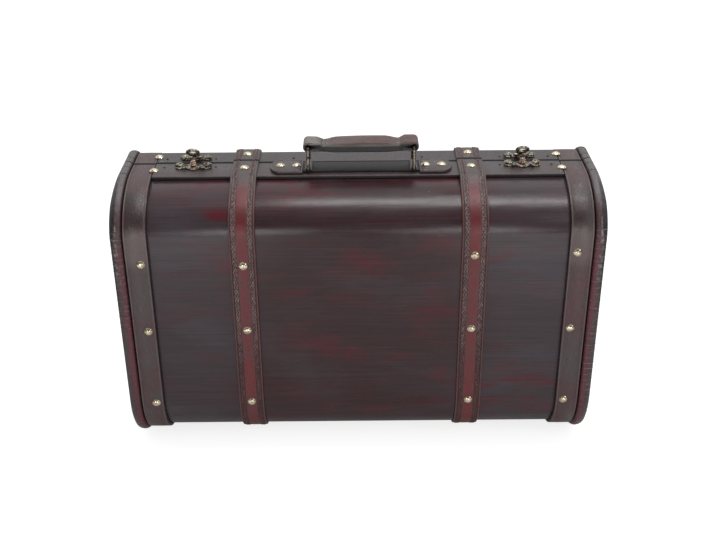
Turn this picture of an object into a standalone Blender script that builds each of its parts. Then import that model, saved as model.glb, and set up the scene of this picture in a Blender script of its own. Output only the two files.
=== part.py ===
"""Suitcase-shaped wooden storage chest.

A thin wooden box in two halves, covered in dark sheet. It stands upright on its hinge side.
The front half is the base and carries the handle, and the rear half is the lid.
Axes: +X along the case, +Y towards the lid, +Z up. The origin is the centre of the footprint.
"""
import math

import bmesh
import bpy
from mathutils import Matrix, Vector

# Case
CASE_WIDTH = 0.4545
CASE_HEIGHT = 0.283
BASE_DEPTH = 0.085
LID_DEPTH = 0.063
PARTING_GAP = 0.0005
FIT_GAP = 0.0003

# Corners of the end outline: depth and height of each quarter ellipse
BASE_TOP_CORNER_DEPTH = 0.066
BASE_TOP_CORNER_HEIGHT = 0.046
BASE_BOTTOM_CORNER_DEPTH = 0.063
BASE_BOTTOM_CORNER_HEIGHT = 0.064
LID_TOP_CORNER_DEPTH = 0.040
LID_TOP_CORNER_HEIGHT = 0.046
LID_BOTTOM_CORNER_DEPTH = 0.038
LID_BOTTOM_CORNER_HEIGHT = 0.050
CORNER_STEPS = 7

# Boards and lining
BOARD_THICKNESS = 0.005
LINING_THICKNESS = 0.001

# Leather edging over each end corner
TRIM_PROUD = 0.006
TRIM_WIDTH = 0.01175
TRIM_LEG = 0.014
TRIM_END_THICKNESS = 0.0052
TRIM_TOP_TAPER = 0.0022
TRIM_TAPER_PLACE = 0.6
TRIM_ROUNDING = 0.0032
TRIM_ROUND_STEPS = 3
TRIM_INNER_BEVEL = 0.0009
TRIM_HINGE_SETBACK = 0.0055

# Bands beside the edging
BAND_WIDTH = 0.022
BAND_THICKNESS = 0.0028
BAND_NAIL_INSET = 0.0077
SEAM_NAIL_REACH = 0.0007
BAND_HINGE_SETBACK = 0.0015

# Straps, each beside one end of the handle's strip
STRIP_TO_STRAP = 0.0088
STRAP_WIDTH = 0.024
STRAP_THICKNESS = 0.0022
STRAP_RAMP = 0.012
RAIL_EDGE_CLEARANCE = 0.0012

# Rails along the parting line
BASE_RAIL_WIDTH = 0.0325
LID_RAIL_WIDTH = 0.029
RAIL_THICKNESS = 0.0034

# Domed nails
NAIL_RADIUS = 0.0045
NAIL_HEIGHT = 0.0024
NAIL_SHANK_RADIUS = 0.0009
NAIL_SIDES = 8
HOLE_CLEARANCE = 0.0003
HOLE_SIDES = 6
SHANK_END_WALL = 0.0011
UPPER_NAIL_Z = 0.218
LEFT_UPPER_NAIL_DROP = 0.0042
RIGHT_UPPER_NAIL_RISE = 0.0047
STRAP_UPPER_NAIL_DROP = 0.0027
MIDDLE_NAIL_Z = 0.142
LOWER_NAIL_Z = 0.060
BASE_TOP_NAIL = 0.0185
LID_TOP_NAIL = 0.0155
BOTTOM_NAIL = 0.024
CLENCH_DEPTH = 0.0006

# Shares of a fastener head's radius and height
HEAD_CROWN = 0.62
HEAD_CROWN_DROP = 0.20
HEAD_RIM_DROP = 0.80
HEAD_SEAT = 0.94

# Tacks of the rails, placed from the latch or the strap beside them
TACK_RADIUS = 0.0013
TACK_HEIGHT = 0.0007
TACK_SHANK_RADIUS = 0.0006
TACK_ROW = 0.0105
BASE_TACK_INSIDE_LATCH = 0.021
LID_TACK_INSIDE_LATCH = 0.019
TACK_OUTSIDE_LATCH = 0.028
TACK_INSIDE_STRAP = 0.0448

# Handle
HANDLE_X = 0.003
RING_HALF_SPACING = 0.0494
RING_HEIGHT = 0.0223
RING_DEPTH = 0.0256
RING_WIRE_RADIUS = 0.0015
RING_BEND = 0.0022
RING_CLEARANCE = 0.0004
HANDLE_LINE = 0.0150
STRIP_LENGTH = 0.172
STRIP_WIDTH = 0.0285
STRIP_NECK_WIDTH = 0.0214
STRIP_PAD_START = 0.0566
STRIP_THICKNESS = 0.0025
STRIP_HUMP_THICKNESS = 0.0018
STRIP_END_ROUND = 0.010
STRIP_END_STEPS = 8
STRIP_INNER_NAIL = 0.0608
STRIP_OUTER_NAIL = 0.0760
HUMP_INNER_STEPS = 8
HUMP_OUTER_STEPS = 6
GRIP_LOOP_RADIUS = 0.0044
GRIP_HOLE_RADIUS = 0.0019
GRIP_WIDTH = 0.0215
GRIP_THICKNESS = 0.0066
GRIP_WAIST = 0.0048
GRIP_WAIST_X = 0.0085
GRIP_TAPER = 0.0128
GRIP_EDGE_ROUND = 0.0012
GRIP_LOOP_STEPS = 10

# Latches
LATCH_PLATE_THICKNESS = 0.0014
CATCH_LINE = 0.0120
CATCH_DISC_RADIUS = 0.0072
CATCH_LOBE_RADIUS = 0.0048
CATCH_LOBE_X = 0.0125
LOBE_BAR_SHARE = 0.55
KNOB_RADIUS = 0.0019
KNOB_CAP_RADIUS = 0.0029
KNOB_HEIGHT = 0.0062
KNOB_CROWN = 0.0018
KNOB_CROWN_DROP = 0.0004
KNOB_RIM_DROP = 0.0016
KNOB_NECK_DROP = 0.0032
HASP_AXIS_OFFSET = 0.0045
HASP_AXIS_HEIGHT = 0.0021
HASP_KNUCKLE_RADIUS = 0.0017
HASP_KNUCKLE_HALF = 0.0028
HASP_RING_RADIUS = 0.0065
HASP_HOLE_RADIUS = 0.0043
HASP_THICKNESS = 0.0014
HASP_STEM_WIDTH = 0.0042
HASP_RAISE = math.radians(40.0)
HASP_PIN_RADIUS = 0.0008
HASP_PIN_HEAD_RADIUS = 0.00136
HASP_PIN_HEAD_LENGTH = 0.0008
HASP_PIN_CLEARANCE = 0.0003
LATCH_KNUCKLE_LENGTH = 0.0024
LATCH_PLATE_REACH = 0.0170
LATCH_LOBE_X = 0.0105
LATCH_LOBE_RADIUS = 0.0046
LATCH_PIN_RADIUS = 0.0007
LATCH_PIN_HEAD = 0.0015

# Hinges
HINGE_WIDTH = 0.040
HINGE_AXIS_Z = 0.0034
HINGE_KNUCKLE_RADIUS = 0.0023
HINGE_PIN_RADIUS = 0.0010
HINGE_PIN_HEAD_RADIUS = 0.0016
HINGE_PIN_HEAD_LENGTH = 0.0010
HINGE_PIN_CLEARANCE = 0.0003
HINGE_LEAF_THICKNESS = 0.0010
HINGE_LEAF_REACH = 0.022
HINGE_KNUCKLES = 5
HINGE_SCREW_HEAD = 0.0022
HINGE_SCREW_HEAD_HEIGHT = 0.0008
HINGE_SCREW_RADIUS = 0.0010
HINGE_SCREW_ROW = 0.0135
HINGE_SCREW_SPACING = 0.0135

# Sides and steps of the small round forms
DISC_SIDES = 14
LOBE_SIDES = 10
KNUCKLE_SIDES = 10
KNUCKLE_ARC_STEPS = 8
BORE_SIDES = 8
PIN_SIDES = 8
BORE_OVERRUN = 0.002

# Worked out from the sizes above
PARTING_Y = BASE_DEPTH - (BASE_DEPTH + LID_DEPTH) / 2.0
HALF_WIDTH = CASE_WIDTH / 2.0
PANEL = TRIM_PROUD
BOARD_INNER = PANEL + BOARD_THICKNESS
LINING_OUTER = BOARD_INNER + FIT_GAP
END_BOARD_OUTER_X = HALF_WIDTH - TRIM_END_THICKNESS
END_BOARD_INNER_X = END_BOARD_OUTER_X - BOARD_THICKNESS
TRIM_INNER_X = HALF_WIDTH - TRIM_WIDTH
BAND_OUTER_X = TRIM_INNER_X - FIT_GAP
BAND_INNER_X = BAND_OUTER_X - BAND_WIDTH
BAND_NAIL_X = BAND_INNER_X + BAND_NAIL_INSET
SEAM_NAIL_X = BAND_INNER_X - SEAM_NAIL_REACH
STRAP_X = STRIP_LENGTH / 2.0 + STRIP_TO_STRAP + STRAP_WIDTH / 2.0
LATCH_X = (STRAP_X + STRAP_WIDTH / 2.0 + BAND_INNER_X) / 2.0
HINGE_X = LATCH_X
LAYER_UNDER = PANEL - FIT_GAP
BAND_TOP = LAYER_UNDER - BAND_THICKNESS
RAIL_TOP = LAYER_UNDER - RAIL_THICKNESS
STRAP_OVER_RAIL = RAIL_TOP - FIT_GAP
STRAP_TOP = LAYER_UNDER - STRAP_THICKNESS
SHANK_END = BOARD_INNER - SHANK_END_WALL
RAIL_TOP_Z = CASE_HEIGHT - RAIL_TOP
SIDES = (("left", -1.0), ("right", 1.0))


def quarter(fraction):
    return fraction * math.pi / 2.0


class Half:
    """One half of the case: its end outline, counted from the parting line at the top.

    A place along the outline is a number from 0 to 5: the top, the top corner, the face,
    the bottom corner and the bottom, each one unit long.
    """

    def __init__(self, name, direction, depth, top_corner, bottom_corner, rail_width):
        self.name = name
        self.direction = direction
        self.depth = depth
        self.top_a, self.top_b = top_corner
        self.low_a, self.low_b = bottom_corner
        self.rail_end = self.place_on_top(rail_width)
        self.ramp_start = self.place_on_top(rail_width + RAIL_EDGE_CLEARANCE)
        self.ramp_end = self.place_on_top(rail_width + RAIL_EDGE_CLEARANCE + STRAP_RAMP)

    def place_on_top(self, distance):
        flat = self.depth - self.top_a
        edge = PARTING_GAP / 2.0
        if distance <= flat:
            return (distance - edge) / (flat - edge)
        return 1.0 + math.asin(min(1.0, (distance - flat) / self.top_a)) / quarter(1.0)

    def place_on_bottom(self, distance):
        flat = self.depth - self.low_a
        edge = PARTING_GAP / 2.0
        if distance <= flat:
            return 5.0 - (distance - edge) / (flat - edge)
        return 4.0 - math.asin(min(1.0, (distance - flat) / self.low_a)) / quarter(1.0)

    def place_on_face(self, height):
        low = self.low_b
        high = CASE_HEIGHT - self.top_b
        if height > high:
            return 1.0 + math.acos(min(1.0, (height - high) / self.top_b)) / quarter(1.0)
        if height < low:
            return 3.0 + math.asin(min(1.0, (low - height) / self.low_b)) / quarter(1.0)
        return 2.0 + (high - height) / (high - low)

    def point(self, place, inset):
        """The (y, z) point at this place, inset from the outside of the edging."""
        section = min(4, int(place))
        part = place - section
        edge = PARTING_GAP / 2.0
        if section == 0:
            distance = edge + part * (self.depth - self.top_a - edge)
            height = CASE_HEIGHT - inset
        elif section == 1:
            distance = self.depth - self.top_a + (self.top_a - inset) * math.sin(quarter(part))
            height = CASE_HEIGHT - self.top_b + (self.top_b - inset) * math.cos(quarter(part))
        elif section == 2:
            distance = self.depth - inset
            height = (1.0 - part) * (CASE_HEIGHT - self.top_b) + part * self.low_b
        elif section == 3:
            distance = self.depth - self.low_a + (self.low_a - inset) * math.cos(quarter(part))
            height = self.low_b - (self.low_b - inset) * math.sin(quarter(part))
        else:
            distance = self.depth - self.low_a + part * (edge - self.depth + self.low_a)
            height = inset
        return (PARTING_Y + self.direction * distance, height)

    def normal(self, place, inset):
        """The outward (y, z) direction at this place."""
        section = min(4, int(place))
        angle = quarter(place - section)
        if section == 0:
            away, up = 0.0, 1.0
        elif section == 1:
            away = math.sin(angle) * (self.top_b - inset)
            up = math.cos(angle) * (self.top_a - inset)
        elif section == 2:
            away, up = 1.0, 0.0
        elif section == 3:
            away = math.cos(angle) * (self.low_b - inset)
            up = -math.sin(angle) * (self.low_a - inset)
        else:
            away, up = 0.0, -1.0
        length = math.hypot(away, up)
        return (self.direction * away / length, up / length)

    def stations(self, first, last):
        """Places shared by every layer, so that the layers stay parallel."""
        marks = [0.0, 1.0, 2.0, 3.0, 4.0, 5.0, self.rail_end, self.ramp_start, self.ramp_end]
        for corner in (1.0, 3.0):
            marks += [corner + step / CORNER_STEPS for step in range(1, CORNER_STEPS)]
        inside = sorted(mark for mark in marks if first + 1e-4 < mark < last - 1e-4)
        kept = [first]
        for mark in inside:
            if mark - kept[-1] > 1e-4:
                kept.append(mark)
        return kept + [last]


BASE = Half("base", -1.0, BASE_DEPTH,
            (BASE_TOP_CORNER_DEPTH, BASE_TOP_CORNER_HEIGHT),
            (BASE_BOTTOM_CORNER_DEPTH, BASE_BOTTOM_CORNER_HEIGHT), BASE_RAIL_WIDTH)
LID = Half("lid", 1.0, LID_DEPTH,
           (LID_TOP_CORNER_DEPTH, LID_TOP_CORNER_HEIGHT),
           (LID_BOTTOM_CORNER_DEPTH, LID_BOTTOM_CORNER_HEIGHT), LID_RAIL_WIDTH)
HALVES = (BASE, LID)
TOP_NAIL = {"base": BASE_TOP_NAIL, "lid": LID_TOP_NAIL}
UPPER_NAIL_SHIFT = {"left": -LEFT_UPPER_NAIL_DROP, "right": RIGHT_UPPER_NAIL_RISE}
FACE_NAILS = (("upper", UPPER_NAIL_Z), ("middle", MIDDLE_NAIL_Z), ("lower", LOWER_NAIL_Z))
TACK_X = {
    "base": (LATCH_X - BASE_TACK_INSIDE_LATCH, LATCH_X + TACK_OUTSIDE_LATCH),
    "lid": (STRAP_X - TACK_INSIDE_STRAP, LATCH_X - LID_TACK_INSIDE_LATCH,
            LATCH_X + TACK_OUTSIDE_LATCH),
}


def make_material(name, colour, roughness, metallic=0.0):
    material = bpy.data.materials.new(name)
    material.use_nodes = True
    shader = material.node_tree.nodes["Principled BSDF"]
    shader.inputs["Base Color"].default_value = (*colour, 1.0)
    shader.inputs["Roughness"].default_value = roughness
    shader.inputs["Metallic"].default_value = metallic
    material.diffuse_color = (*colour, 1.0)
    return material


PANEL_LOOK = ("panel", (0.050, 0.030, 0.034), 0.45, 0.0)
TRIM_LOOK = ("edging", (0.090, 0.018, 0.024), 0.35, 0.0)
BAND_LOOK = ("band", (0.085, 0.058, 0.054), 0.45, 0.0)
STRAP_LOOK = ("strap", (0.130, 0.035, 0.032), 0.45, 0.0)
LINING_LOOK = ("lining", (0.120, 0.090, 0.070), 0.90, 0.0)
BRASS_LOOK = ("nail_brass", (0.640, 0.560, 0.400), 0.30, 1.0)
BRONZE_LOOK = ("bronze", (0.240, 0.190, 0.140), 0.40, 1.0)
COPPER_LOOK = ("copper", (0.480, 0.300, 0.220), 0.40, 1.0)
GRIP_LOOK = ("grip_leather", (0.140, 0.110, 0.100), 0.50, 0.0)
STEEL_LOOK = ("steel", (0.500, 0.500, 0.480), 0.35, 1.0)


def add_object(name, mesh, look, sharp_angle=40.0):
    material_name, colour, roughness, metallic = look
    material = make_material(f"{name}_{material_name}", colour, roughness, metallic)
    obj = bpy.data.objects.new(name, mesh)
    bpy.context.scene.collection.objects.link(obj)
    mesh.materials.append(material)
    mesh.shade_smooth()
    mesh.set_sharp_from_angle(angle=math.radians(sharp_angle))
    return obj


def mesh_from(name, vertices, faces):
    mesh = bpy.data.meshes.new(name)
    mesh.from_pydata([tuple(vertex) for vertex in vertices], [], faces)
    shape = bmesh.new()
    shape.from_mesh(mesh)
    bmesh.ops.recalc_face_normals(shape, faces=shape.faces)
    shape.to_mesh(mesh)
    shape.free()
    return mesh


def sweep_vertices(rings):
    """Vertices and faces of a closed solid through rings of points, with flat ends."""
    count = len(rings[0])
    vertices = [point for ring in rings for point in ring]
    faces = []
    for row in range(len(rings) - 1):
        start = row * count
        for index in range(count):
            following = (index + 1) % count
            faces.append((start + index, start + following,
                          start + count + following, start + count + index))
    faces.append(tuple(reversed(range(count))))
    faces.append(tuple(range(len(vertices) - count, len(vertices))))
    return vertices, faces


def sweep(name, half, first, last, section):
    """A solid swept along a half's outline; section(place) lists (x, inset) points."""
    rings = []
    for place in half.stations(first, last):
        rings.append([Vector((x, *half.point(place, inset))) for x, inset in section(place)])
    vertices, faces = sweep_vertices(rings)
    return mesh_from(name, vertices, faces)


def prism(name, outline, low, high, axis):
    """A flat outline pushed from low to high along one axis (0, 1 or 2)."""
    rings = []
    for level in (low, high):
        ring = []
        for first, second in outline:
            point = [first, second]
            point.insert(axis, level)
            ring.append(Vector(point))
        rings.append(ring)
    vertices, faces = sweep_vertices(rings)
    return mesh_from(name, vertices, faces)


def turned(name, profile, sides, start_half_step=False):
    """A solid turned about +Z from (radius, height) points, top to bottom."""
    vertices = []
    faces = []
    rows = []
    offset = 0.5 if start_half_step else 0.0
    for radius, height in profile:
        row = []
        if radius < 1e-7:
            row.append(len(vertices))
            vertices.append(Vector((0.0, 0.0, height)))
        else:
            for side in range(sides):
                angle = math.tau * (side + offset) / sides
                row.append(len(vertices))
                vertices.append(Vector((radius * math.cos(angle), radius * math.sin(angle), height)))
        rows.append(row)
    for upper, lower in zip(rows, rows[1:]):
        for side in range(sides):
            following = (side + 1) % sides
            if len(upper) == 1:
                faces.append((upper[0], lower[side], lower[following]))
            elif len(lower) == 1:
                faces.append((upper[side], lower[0], upper[following]))
            else:
                faces.append((upper[side], lower[side], lower[following], upper[following]))
    return mesh_from(name, vertices, faces)


def cylinder(name, radius, length, sides):
    profile = ((0.0, length / 2.0), (radius, length / 2.0), (radius, -length / 2.0), (0.0, -length / 2.0))
    return turned(name, profile, sides, True)


def frame_at(origin, axis):
    """A matrix that puts +Z along the axis, at the origin."""
    return Matrix.Translation(origin) @ Vector(axis).to_track_quat("Z", "Y").to_matrix().to_4x4()


def joined(name, placed):
    """One mesh from several (mesh, matrix) pairs, which stay separate bodies."""
    shape = bmesh.new()
    for mesh, matrix in placed:
        copy = mesh.copy()
        copy.transform(matrix)
        shape.from_mesh(copy)
        bpy.data.meshes.remove(copy)
    result = bpy.data.meshes.new(name)
    shape.to_mesh(result)
    shape.free()
    return result


def hidden_tool(name, mesh):
    tool = bpy.data.objects.new(name, mesh)
    bpy.context.scene.collection.objects.link(tool)
    tool.hide_render = True
    tool.display_type = "WIRE"
    return tool


def boolean(obj, tool, operation="DIFFERENCE"):
    modifier = obj.modifiers.new(operation.title(), "BOOLEAN")
    modifier.operation = operation
    modifier.solver = "EXACT"
    modifier.object = tool


def fuse(name, meshes):
    """The Boolean union of several meshes as one mesh."""
    body = bpy.data.objects.new(name, meshes[0])
    bpy.context.scene.collection.objects.link(body)
    tools = []
    for number, mesh in enumerate(meshes[1:]):
        tool = hidden_tool(f"{name}_tool_{number}", mesh)
        boolean(body, tool, "UNION")
        tools.append(tool)
    graph = bpy.context.evaluated_depsgraph_get()
    result = bpy.data.meshes.new_from_object(body.evaluated_get(graph))
    result.name = name
    for item in [body] + tools:
        bpy.data.objects.remove(item, do_unlink=True)
    return result


def circle(centre_x, centre_y, radius, sides, start=0.0):
    points = []
    for side in range(sides):
        angle = start + math.tau * side / sides
        points.append((centre_x + radius * math.cos(angle), centre_y + radius * math.sin(angle)))
    return points


def rectangle(x_low, x_high, y_low, y_high):
    return [(x_low, y_low), (x_high, y_low), (x_high, y_high), (x_low, y_high)]


# Fasteners

class Fastener:
    """Sizes of one kind of nail, tack, pin or screw."""

    def __init__(self, radius, height, shank_radius, sides):
        self.radius = radius
        self.height = height
        self.shank_radius = shank_radius
        self.sides = sides

    def mesh(self, name, shank_length, seat_gap):
        """A domed head over a round shank, with the seat at height 0."""
        top = self.height + FIT_GAP
        profile = ((0.0, top),
                   (HEAD_CROWN * self.radius, top - HEAD_CROWN_DROP * self.height),
                   (self.radius, top - HEAD_RIM_DROP * self.height),
                   (HEAD_SEAT * self.radius, seat_gap),
                   (self.shank_radius, seat_gap), (self.shank_radius, -shank_length),
                   (0.0, -shank_length))
        return turned(name, profile, self.sides)


NAIL = Fastener(NAIL_RADIUS, NAIL_HEIGHT, NAIL_SHANK_RADIUS, NAIL_SIDES)
TACK = Fastener(TACK_RADIUS, TACK_HEIGHT, TACK_SHANK_RADIUS, HOLE_SIDES)
LATCH_PIN = Fastener(LATCH_PIN_HEAD, TACK_HEIGHT, LATCH_PIN_RADIUS, HOLE_SIDES)
HINGE_SCREW = Fastener(HINGE_SCREW_HEAD, HINGE_SCREW_HEAD_HEIGHT, HINGE_SCREW_RADIUS, HOLE_SIDES)


def outline_site(half, place, seat, x):
    """A fastener's seat point, its outward direction and its shank's length."""
    origin = Vector((x, *half.point(place, seat)))
    direction = Vector((0.0, *half.normal(place, seat)))
    return (origin, direction, SHANK_END - seat)


def add_nail(name, site):
    origin, direction, length = site
    mesh = NAIL.mesh(name, length, FIT_GAP)
    mesh.transform(frame_at(origin, direction))
    return add_object(name, mesh, BRASS_LOOK)


def fix_fasteners(obj, sites, fastener):
    """Fasteners clenched in a piece, as one body with it."""
    placed = []
    for origin, direction, length in sites:
        mesh = fastener.mesh(obj.name, length, -CLENCH_DEPTH)
        placed.append((mesh, frame_at(origin, direction)))
    name = f"{obj.name}_fasteners"
    boolean(obj, hidden_tool(name, joined(name, placed)), "UNION")


def hole_tool(name, sites, shank_radius):
    placed = []
    for origin, direction, length in sites:
        above = NAIL_HEIGHT
        full = length + HOLE_CLEARANCE + above
        mesh = cylinder(name, shank_radius + HOLE_CLEARANCE, full, HOLE_SIDES)
        centre = origin + direction * (above - full / 2.0)
        placed.append((mesh, frame_at(centre, direction)))
    return hidden_tool(name, joined(name, placed))


# Case pieces

def add_shell(half):
    def section(place):
        reach = END_BOARD_OUTER_X
        return [(-reach, PANEL), (reach, PANEL), (reach, BOARD_INNER), (-reach, BOARD_INNER)]
    mesh = sweep(f"{half.name}_shell", half, 0.0, 5.0, section)
    return add_object(f"{half.name}_shell", mesh, PANEL_LOOK)


def outline_points(half, inset):
    return [half.point(place, inset) for place in half.stations(0.0, 5.0)]


def add_end_board(half, side_name, side):
    name = f"{half.name}_{side_name}_end"
    levels = sorted((side * END_BOARD_INNER_X, side * END_BOARD_OUTER_X))
    mesh = prism(name, outline_points(half, LINING_OUTER), levels[0], levels[1], 0)
    return add_object(name, mesh, PANEL_LOOK)


def add_lining(half):
    """A thin tray inside the boards, open at the parting line."""
    name = f"{half.name}_lining"
    outer_x = END_BOARD_INNER_X - FIT_GAP
    inner_x = outer_x - LINING_THICKNESS
    outer = outline_points(half, LINING_OUTER)
    lining = add_object(name, prism(name, outer, -outer_x, outer_x, 0), LINING_LOOK)
    hollow = outline_points(half, LINING_OUTER + LINING_THICKNESS)
    past_edge = PARTING_Y - half.direction * BOARD_THICKNESS
    hollow = [(past_edge, hollow[0][1])] + hollow + [(past_edge, hollow[-1][1])]
    tool = hidden_tool(f"{name}_hollow", prism(f"{name}_hollow", hollow, -inner_x, inner_x, 0))
    boolean(lining, tool)
    return lining


def add_trim(half, side_name, side):
    """Leather edging rolled over the case's end corner. It is slimmer beside the parting line."""
    name = f"{half.name}_{side_name}_edge_trim"
    inner_x = END_BOARD_OUTER_X + FIT_GAP

    def section(place):
        share = min(1.0, max(0.0, place - 1.0) / TRIM_TAPER_PLACE)
        outer_x = HALF_WIDTH - TRIM_TOP_TAPER * (1.0 - share)
        points = [(TRIM_INNER_X, LAYER_UNDER), (TRIM_INNER_X, TRIM_INNER_BEVEL),
                  (TRIM_INNER_X + TRIM_INNER_BEVEL, 0.0)]
        for step in range(TRIM_ROUND_STEPS + 1):
            angle = quarter(step / TRIM_ROUND_STEPS)
            points.append((outer_x - TRIM_ROUNDING * (1.0 - math.sin(angle)),
                           TRIM_ROUNDING * (1.0 - math.cos(angle))))
        points += [(outer_x, TRIM_LEG), (inner_x, TRIM_LEG), (inner_x, LAYER_UNDER)]
        return [(side * x, inset) for x, inset in points]
    last = half.place_on_bottom(TRIM_HINGE_SETBACK)
    return add_object(name, sweep(name, half, 0.0, last, section), TRIM_LOOK)


def add_band(half, side_name, side):
    name = f"{half.name}_{side_name}_band"
    low, high = sorted((side * BAND_INNER_X, side * BAND_OUTER_X))

    def section(place):
        return [(low, BAND_TOP), (high, BAND_TOP), (high, LAYER_UNDER), (low, LAYER_UNDER)]
    last = half.place_on_bottom(BAND_HINGE_SETBACK)
    return add_object(name, sweep(name, half, 0.0, last, section), BAND_LOOK)


def strap_under(half, place):
    """The strap lies on the rail and then eases down to the panel."""
    if place <= half.ramp_start:
        return STRAP_OVER_RAIL
    if place >= half.ramp_end:
        return LAYER_UNDER
    part = (place - half.ramp_start) / (half.ramp_end - half.ramp_start)
    return STRAP_OVER_RAIL + part * (LAYER_UNDER - STRAP_OVER_RAIL)


def add_strap(half, side_name, side):
    name = f"{half.name}_{side_name}_strap"
    low = side * STRAP_X - STRAP_WIDTH / 2.0
    high = side * STRAP_X + STRAP_WIDTH / 2.0

    def section(place):
        under = strap_under(half, place)
        top = under - STRAP_THICKNESS
        return [(low, top), (high, top), (high, under), (low, under)]
    last = half.place_on_bottom(BAND_HINGE_SETBACK)
    return add_object(name, sweep(name, half, 0.0, last, section), STRAP_LOOK)


def add_rail(half):
    name = f"{half.name}_top_rail"
    reach = BAND_INNER_X - FIT_GAP

    def section(place):
        return [(-reach, RAIL_TOP), (reach, RAIL_TOP), (reach, LAYER_UNDER), (-reach, LAYER_UNDER)]
    return add_object(name, sweep(name, half, 0.0, half.rail_end, section), BAND_LOOK)


def face_nail_sites(half, kind, side_name, seat, x):
    """Nails down the face of the case. On the front the upper ones aren't level."""
    sites = {}
    for word, height in FACE_NAILS:
        if half is BASE and word == "upper":
            height += UPPER_NAIL_SHIFT[side_name]
            if kind == "strap":
                height -= STRAP_UPPER_NAIL_DROP
        sites[word] = outline_site(half, half.place_on_face(height), seat, x)
    return sites


def top_nail_site(half, kind, side):
    """The nail on top: through a strap over the rail, or on the seam of rail and band."""
    place = half.place_on_top(TOP_NAIL[half.name])
    if kind == "strap":
        return outline_site(half, place, STRAP_OVER_RAIL - STRAP_THICKNESS, side * STRAP_X)
    return outline_site(half, place, RAIL_TOP, side * SEAM_NAIL_X)


def build_half(half):
    """Boards, leather and fasteners of one half of the case."""
    shell = add_shell(half)
    rail = add_rail(half)
    add_lining(half)
    straps = []
    bands = []
    for side_name, side in SIDES:
        add_end_board(half, side_name, side)
        add_trim(half, side_name, side)
        bands.append(add_band(half, side_name, side))
        straps.append(add_strap(half, side_name, side))

    low = half.place_on_bottom(BOTTOM_NAIL)
    all_sites = []
    rail_sites = []
    for kind, pieces, distance, seat in (("band", bands, BAND_NAIL_X, BAND_TOP),
                                         ("strap", straps, STRAP_X, STRAP_TOP)):
        for piece, (side_name, side) in zip(pieces, SIDES):
            x = side * distance
            loose = face_nail_sites(half, kind, side_name, seat, x)
            loose["top"] = top_nail_site(half, kind, side)
            fixed = [outline_site(half, low, seat, x)]
            if half is LID and kind == "band":
                seam_site = loose.pop("top")
                rail_sites.append(seam_site)
                boolean(piece, hole_tool(f"{piece.name}_seam_hole", [seam_site], NAIL_SHANK_RADIUS))
            if half is LID:
                fixed += loose.values()
                loose = {}
            for word, site in loose.items():
                add_nail(f"{side_name}_{kind}_nail_{word}", site)
            if loose:
                boolean(piece, hole_tool(f"{piece.name}_holes", loose.values(), NAIL_SHANK_RADIUS))
            fix_fasteners(piece, fixed, NAIL)
            all_sites += list(loose.values()) + fixed

    tack_place = half.place_on_top(TACK_ROW)
    tack_sites = []
    for x in TACK_X[half.name]:
        for side_name, side in SIDES:
            tack_sites.append(outline_site(half, tack_place, RAIL_TOP, side * x))
    nail_holes = hole_tool(f"{half.name}_nail_holes", all_sites, NAIL_SHANK_RADIUS)
    boolean(rail, nail_holes)
    boolean(shell, nail_holes)
    fix_fasteners(rail, tack_sites, TACK)
    if rail_sites:
        fix_fasteners(rail, rail_sites, NAIL)
        boolean(shell, hole_tool(f"{half.name}_seam_holes", rail_sites, NAIL_SHANK_RADIUS))
    boolean(shell, hole_tool(f"{half.name}_tack_holes", tack_sites, TACK_SHANK_RADIUS))
    return shell, rail


# Handle

HANDLE_Y = PARTING_Y - HANDLE_LINE
STRIP_LOW_Z = RAIL_TOP_Z + FIT_GAP
BAR_Z = RAIL_TOP_Z + FIT_GAP + RING_WIRE_RADIUS
STRIP_TOP_Z = STRIP_LOW_Z + STRIP_THICKNESS


def strip_side_outline():
    """The strip seen from the front: flat, with a hump over each ring's lower bar."""
    inner = RING_WIRE_RADIUS + RING_CLEARANCE
    outer = inner + STRIP_HUMP_THICKNESS
    half_length = STRIP_LENGTH / 2.0
    inner_angle = math.asin((STRIP_LOW_Z - BAR_Z) / inner)
    outer_angle = math.asin((STRIP_TOP_Z - BAR_Z) / outer)
    under = [(-half_length, STRIP_LOW_Z)]
    over = [(-half_length, STRIP_TOP_Z)]
    for name, side in SIDES:
        centre = side * RING_HALF_SPACING
        for step in range(HUMP_INNER_STEPS + 1):
            turn = (math.pi - 2.0 * inner_angle) * step / HUMP_INNER_STEPS
            angle = math.pi - inner_angle - turn
            under.append((centre + inner * math.cos(angle), BAR_Z + inner * math.sin(angle)))
        for step in range(HUMP_OUTER_STEPS + 1):
            turn = (math.pi - 2.0 * outer_angle) * step / HUMP_OUTER_STEPS
            angle = math.pi - outer_angle - turn
            over.append((centre + outer * math.cos(angle), BAR_Z + outer * math.sin(angle)))
    under.append((half_length, STRIP_LOW_Z))
    over.append((half_length, STRIP_TOP_Z))
    points = under + list(reversed(over))
    return [(HANDLE_X + x, z) for x, z in points]


def strip_plan_outline():
    """The strip seen from above: two wide pads with round ends, and a narrower neck."""
    half_length = STRIP_LENGTH / 2.0
    half_width = STRIP_WIDTH / 2.0
    half_neck = STRIP_NECK_WIDTH / 2.0
    right = [(STRIP_PAD_START, -half_neck), (STRIP_PAD_START, -half_width)]
    for step in range(STRIP_END_STEPS + 1):
        angle = -quarter(1.0) + math.pi * step / STRIP_END_STEPS
        right.append((half_length - STRIP_END_ROUND * (1.0 - math.cos(angle)),
                      half_width * math.sin(angle)))
    right += [(STRIP_PAD_START, half_width), (STRIP_PAD_START, half_neck)]
    left = [(-x, y) for x, y in reversed(right)]
    return [(HANDLE_X + x, HANDLE_Y + y) for x, y in right + left]


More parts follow.
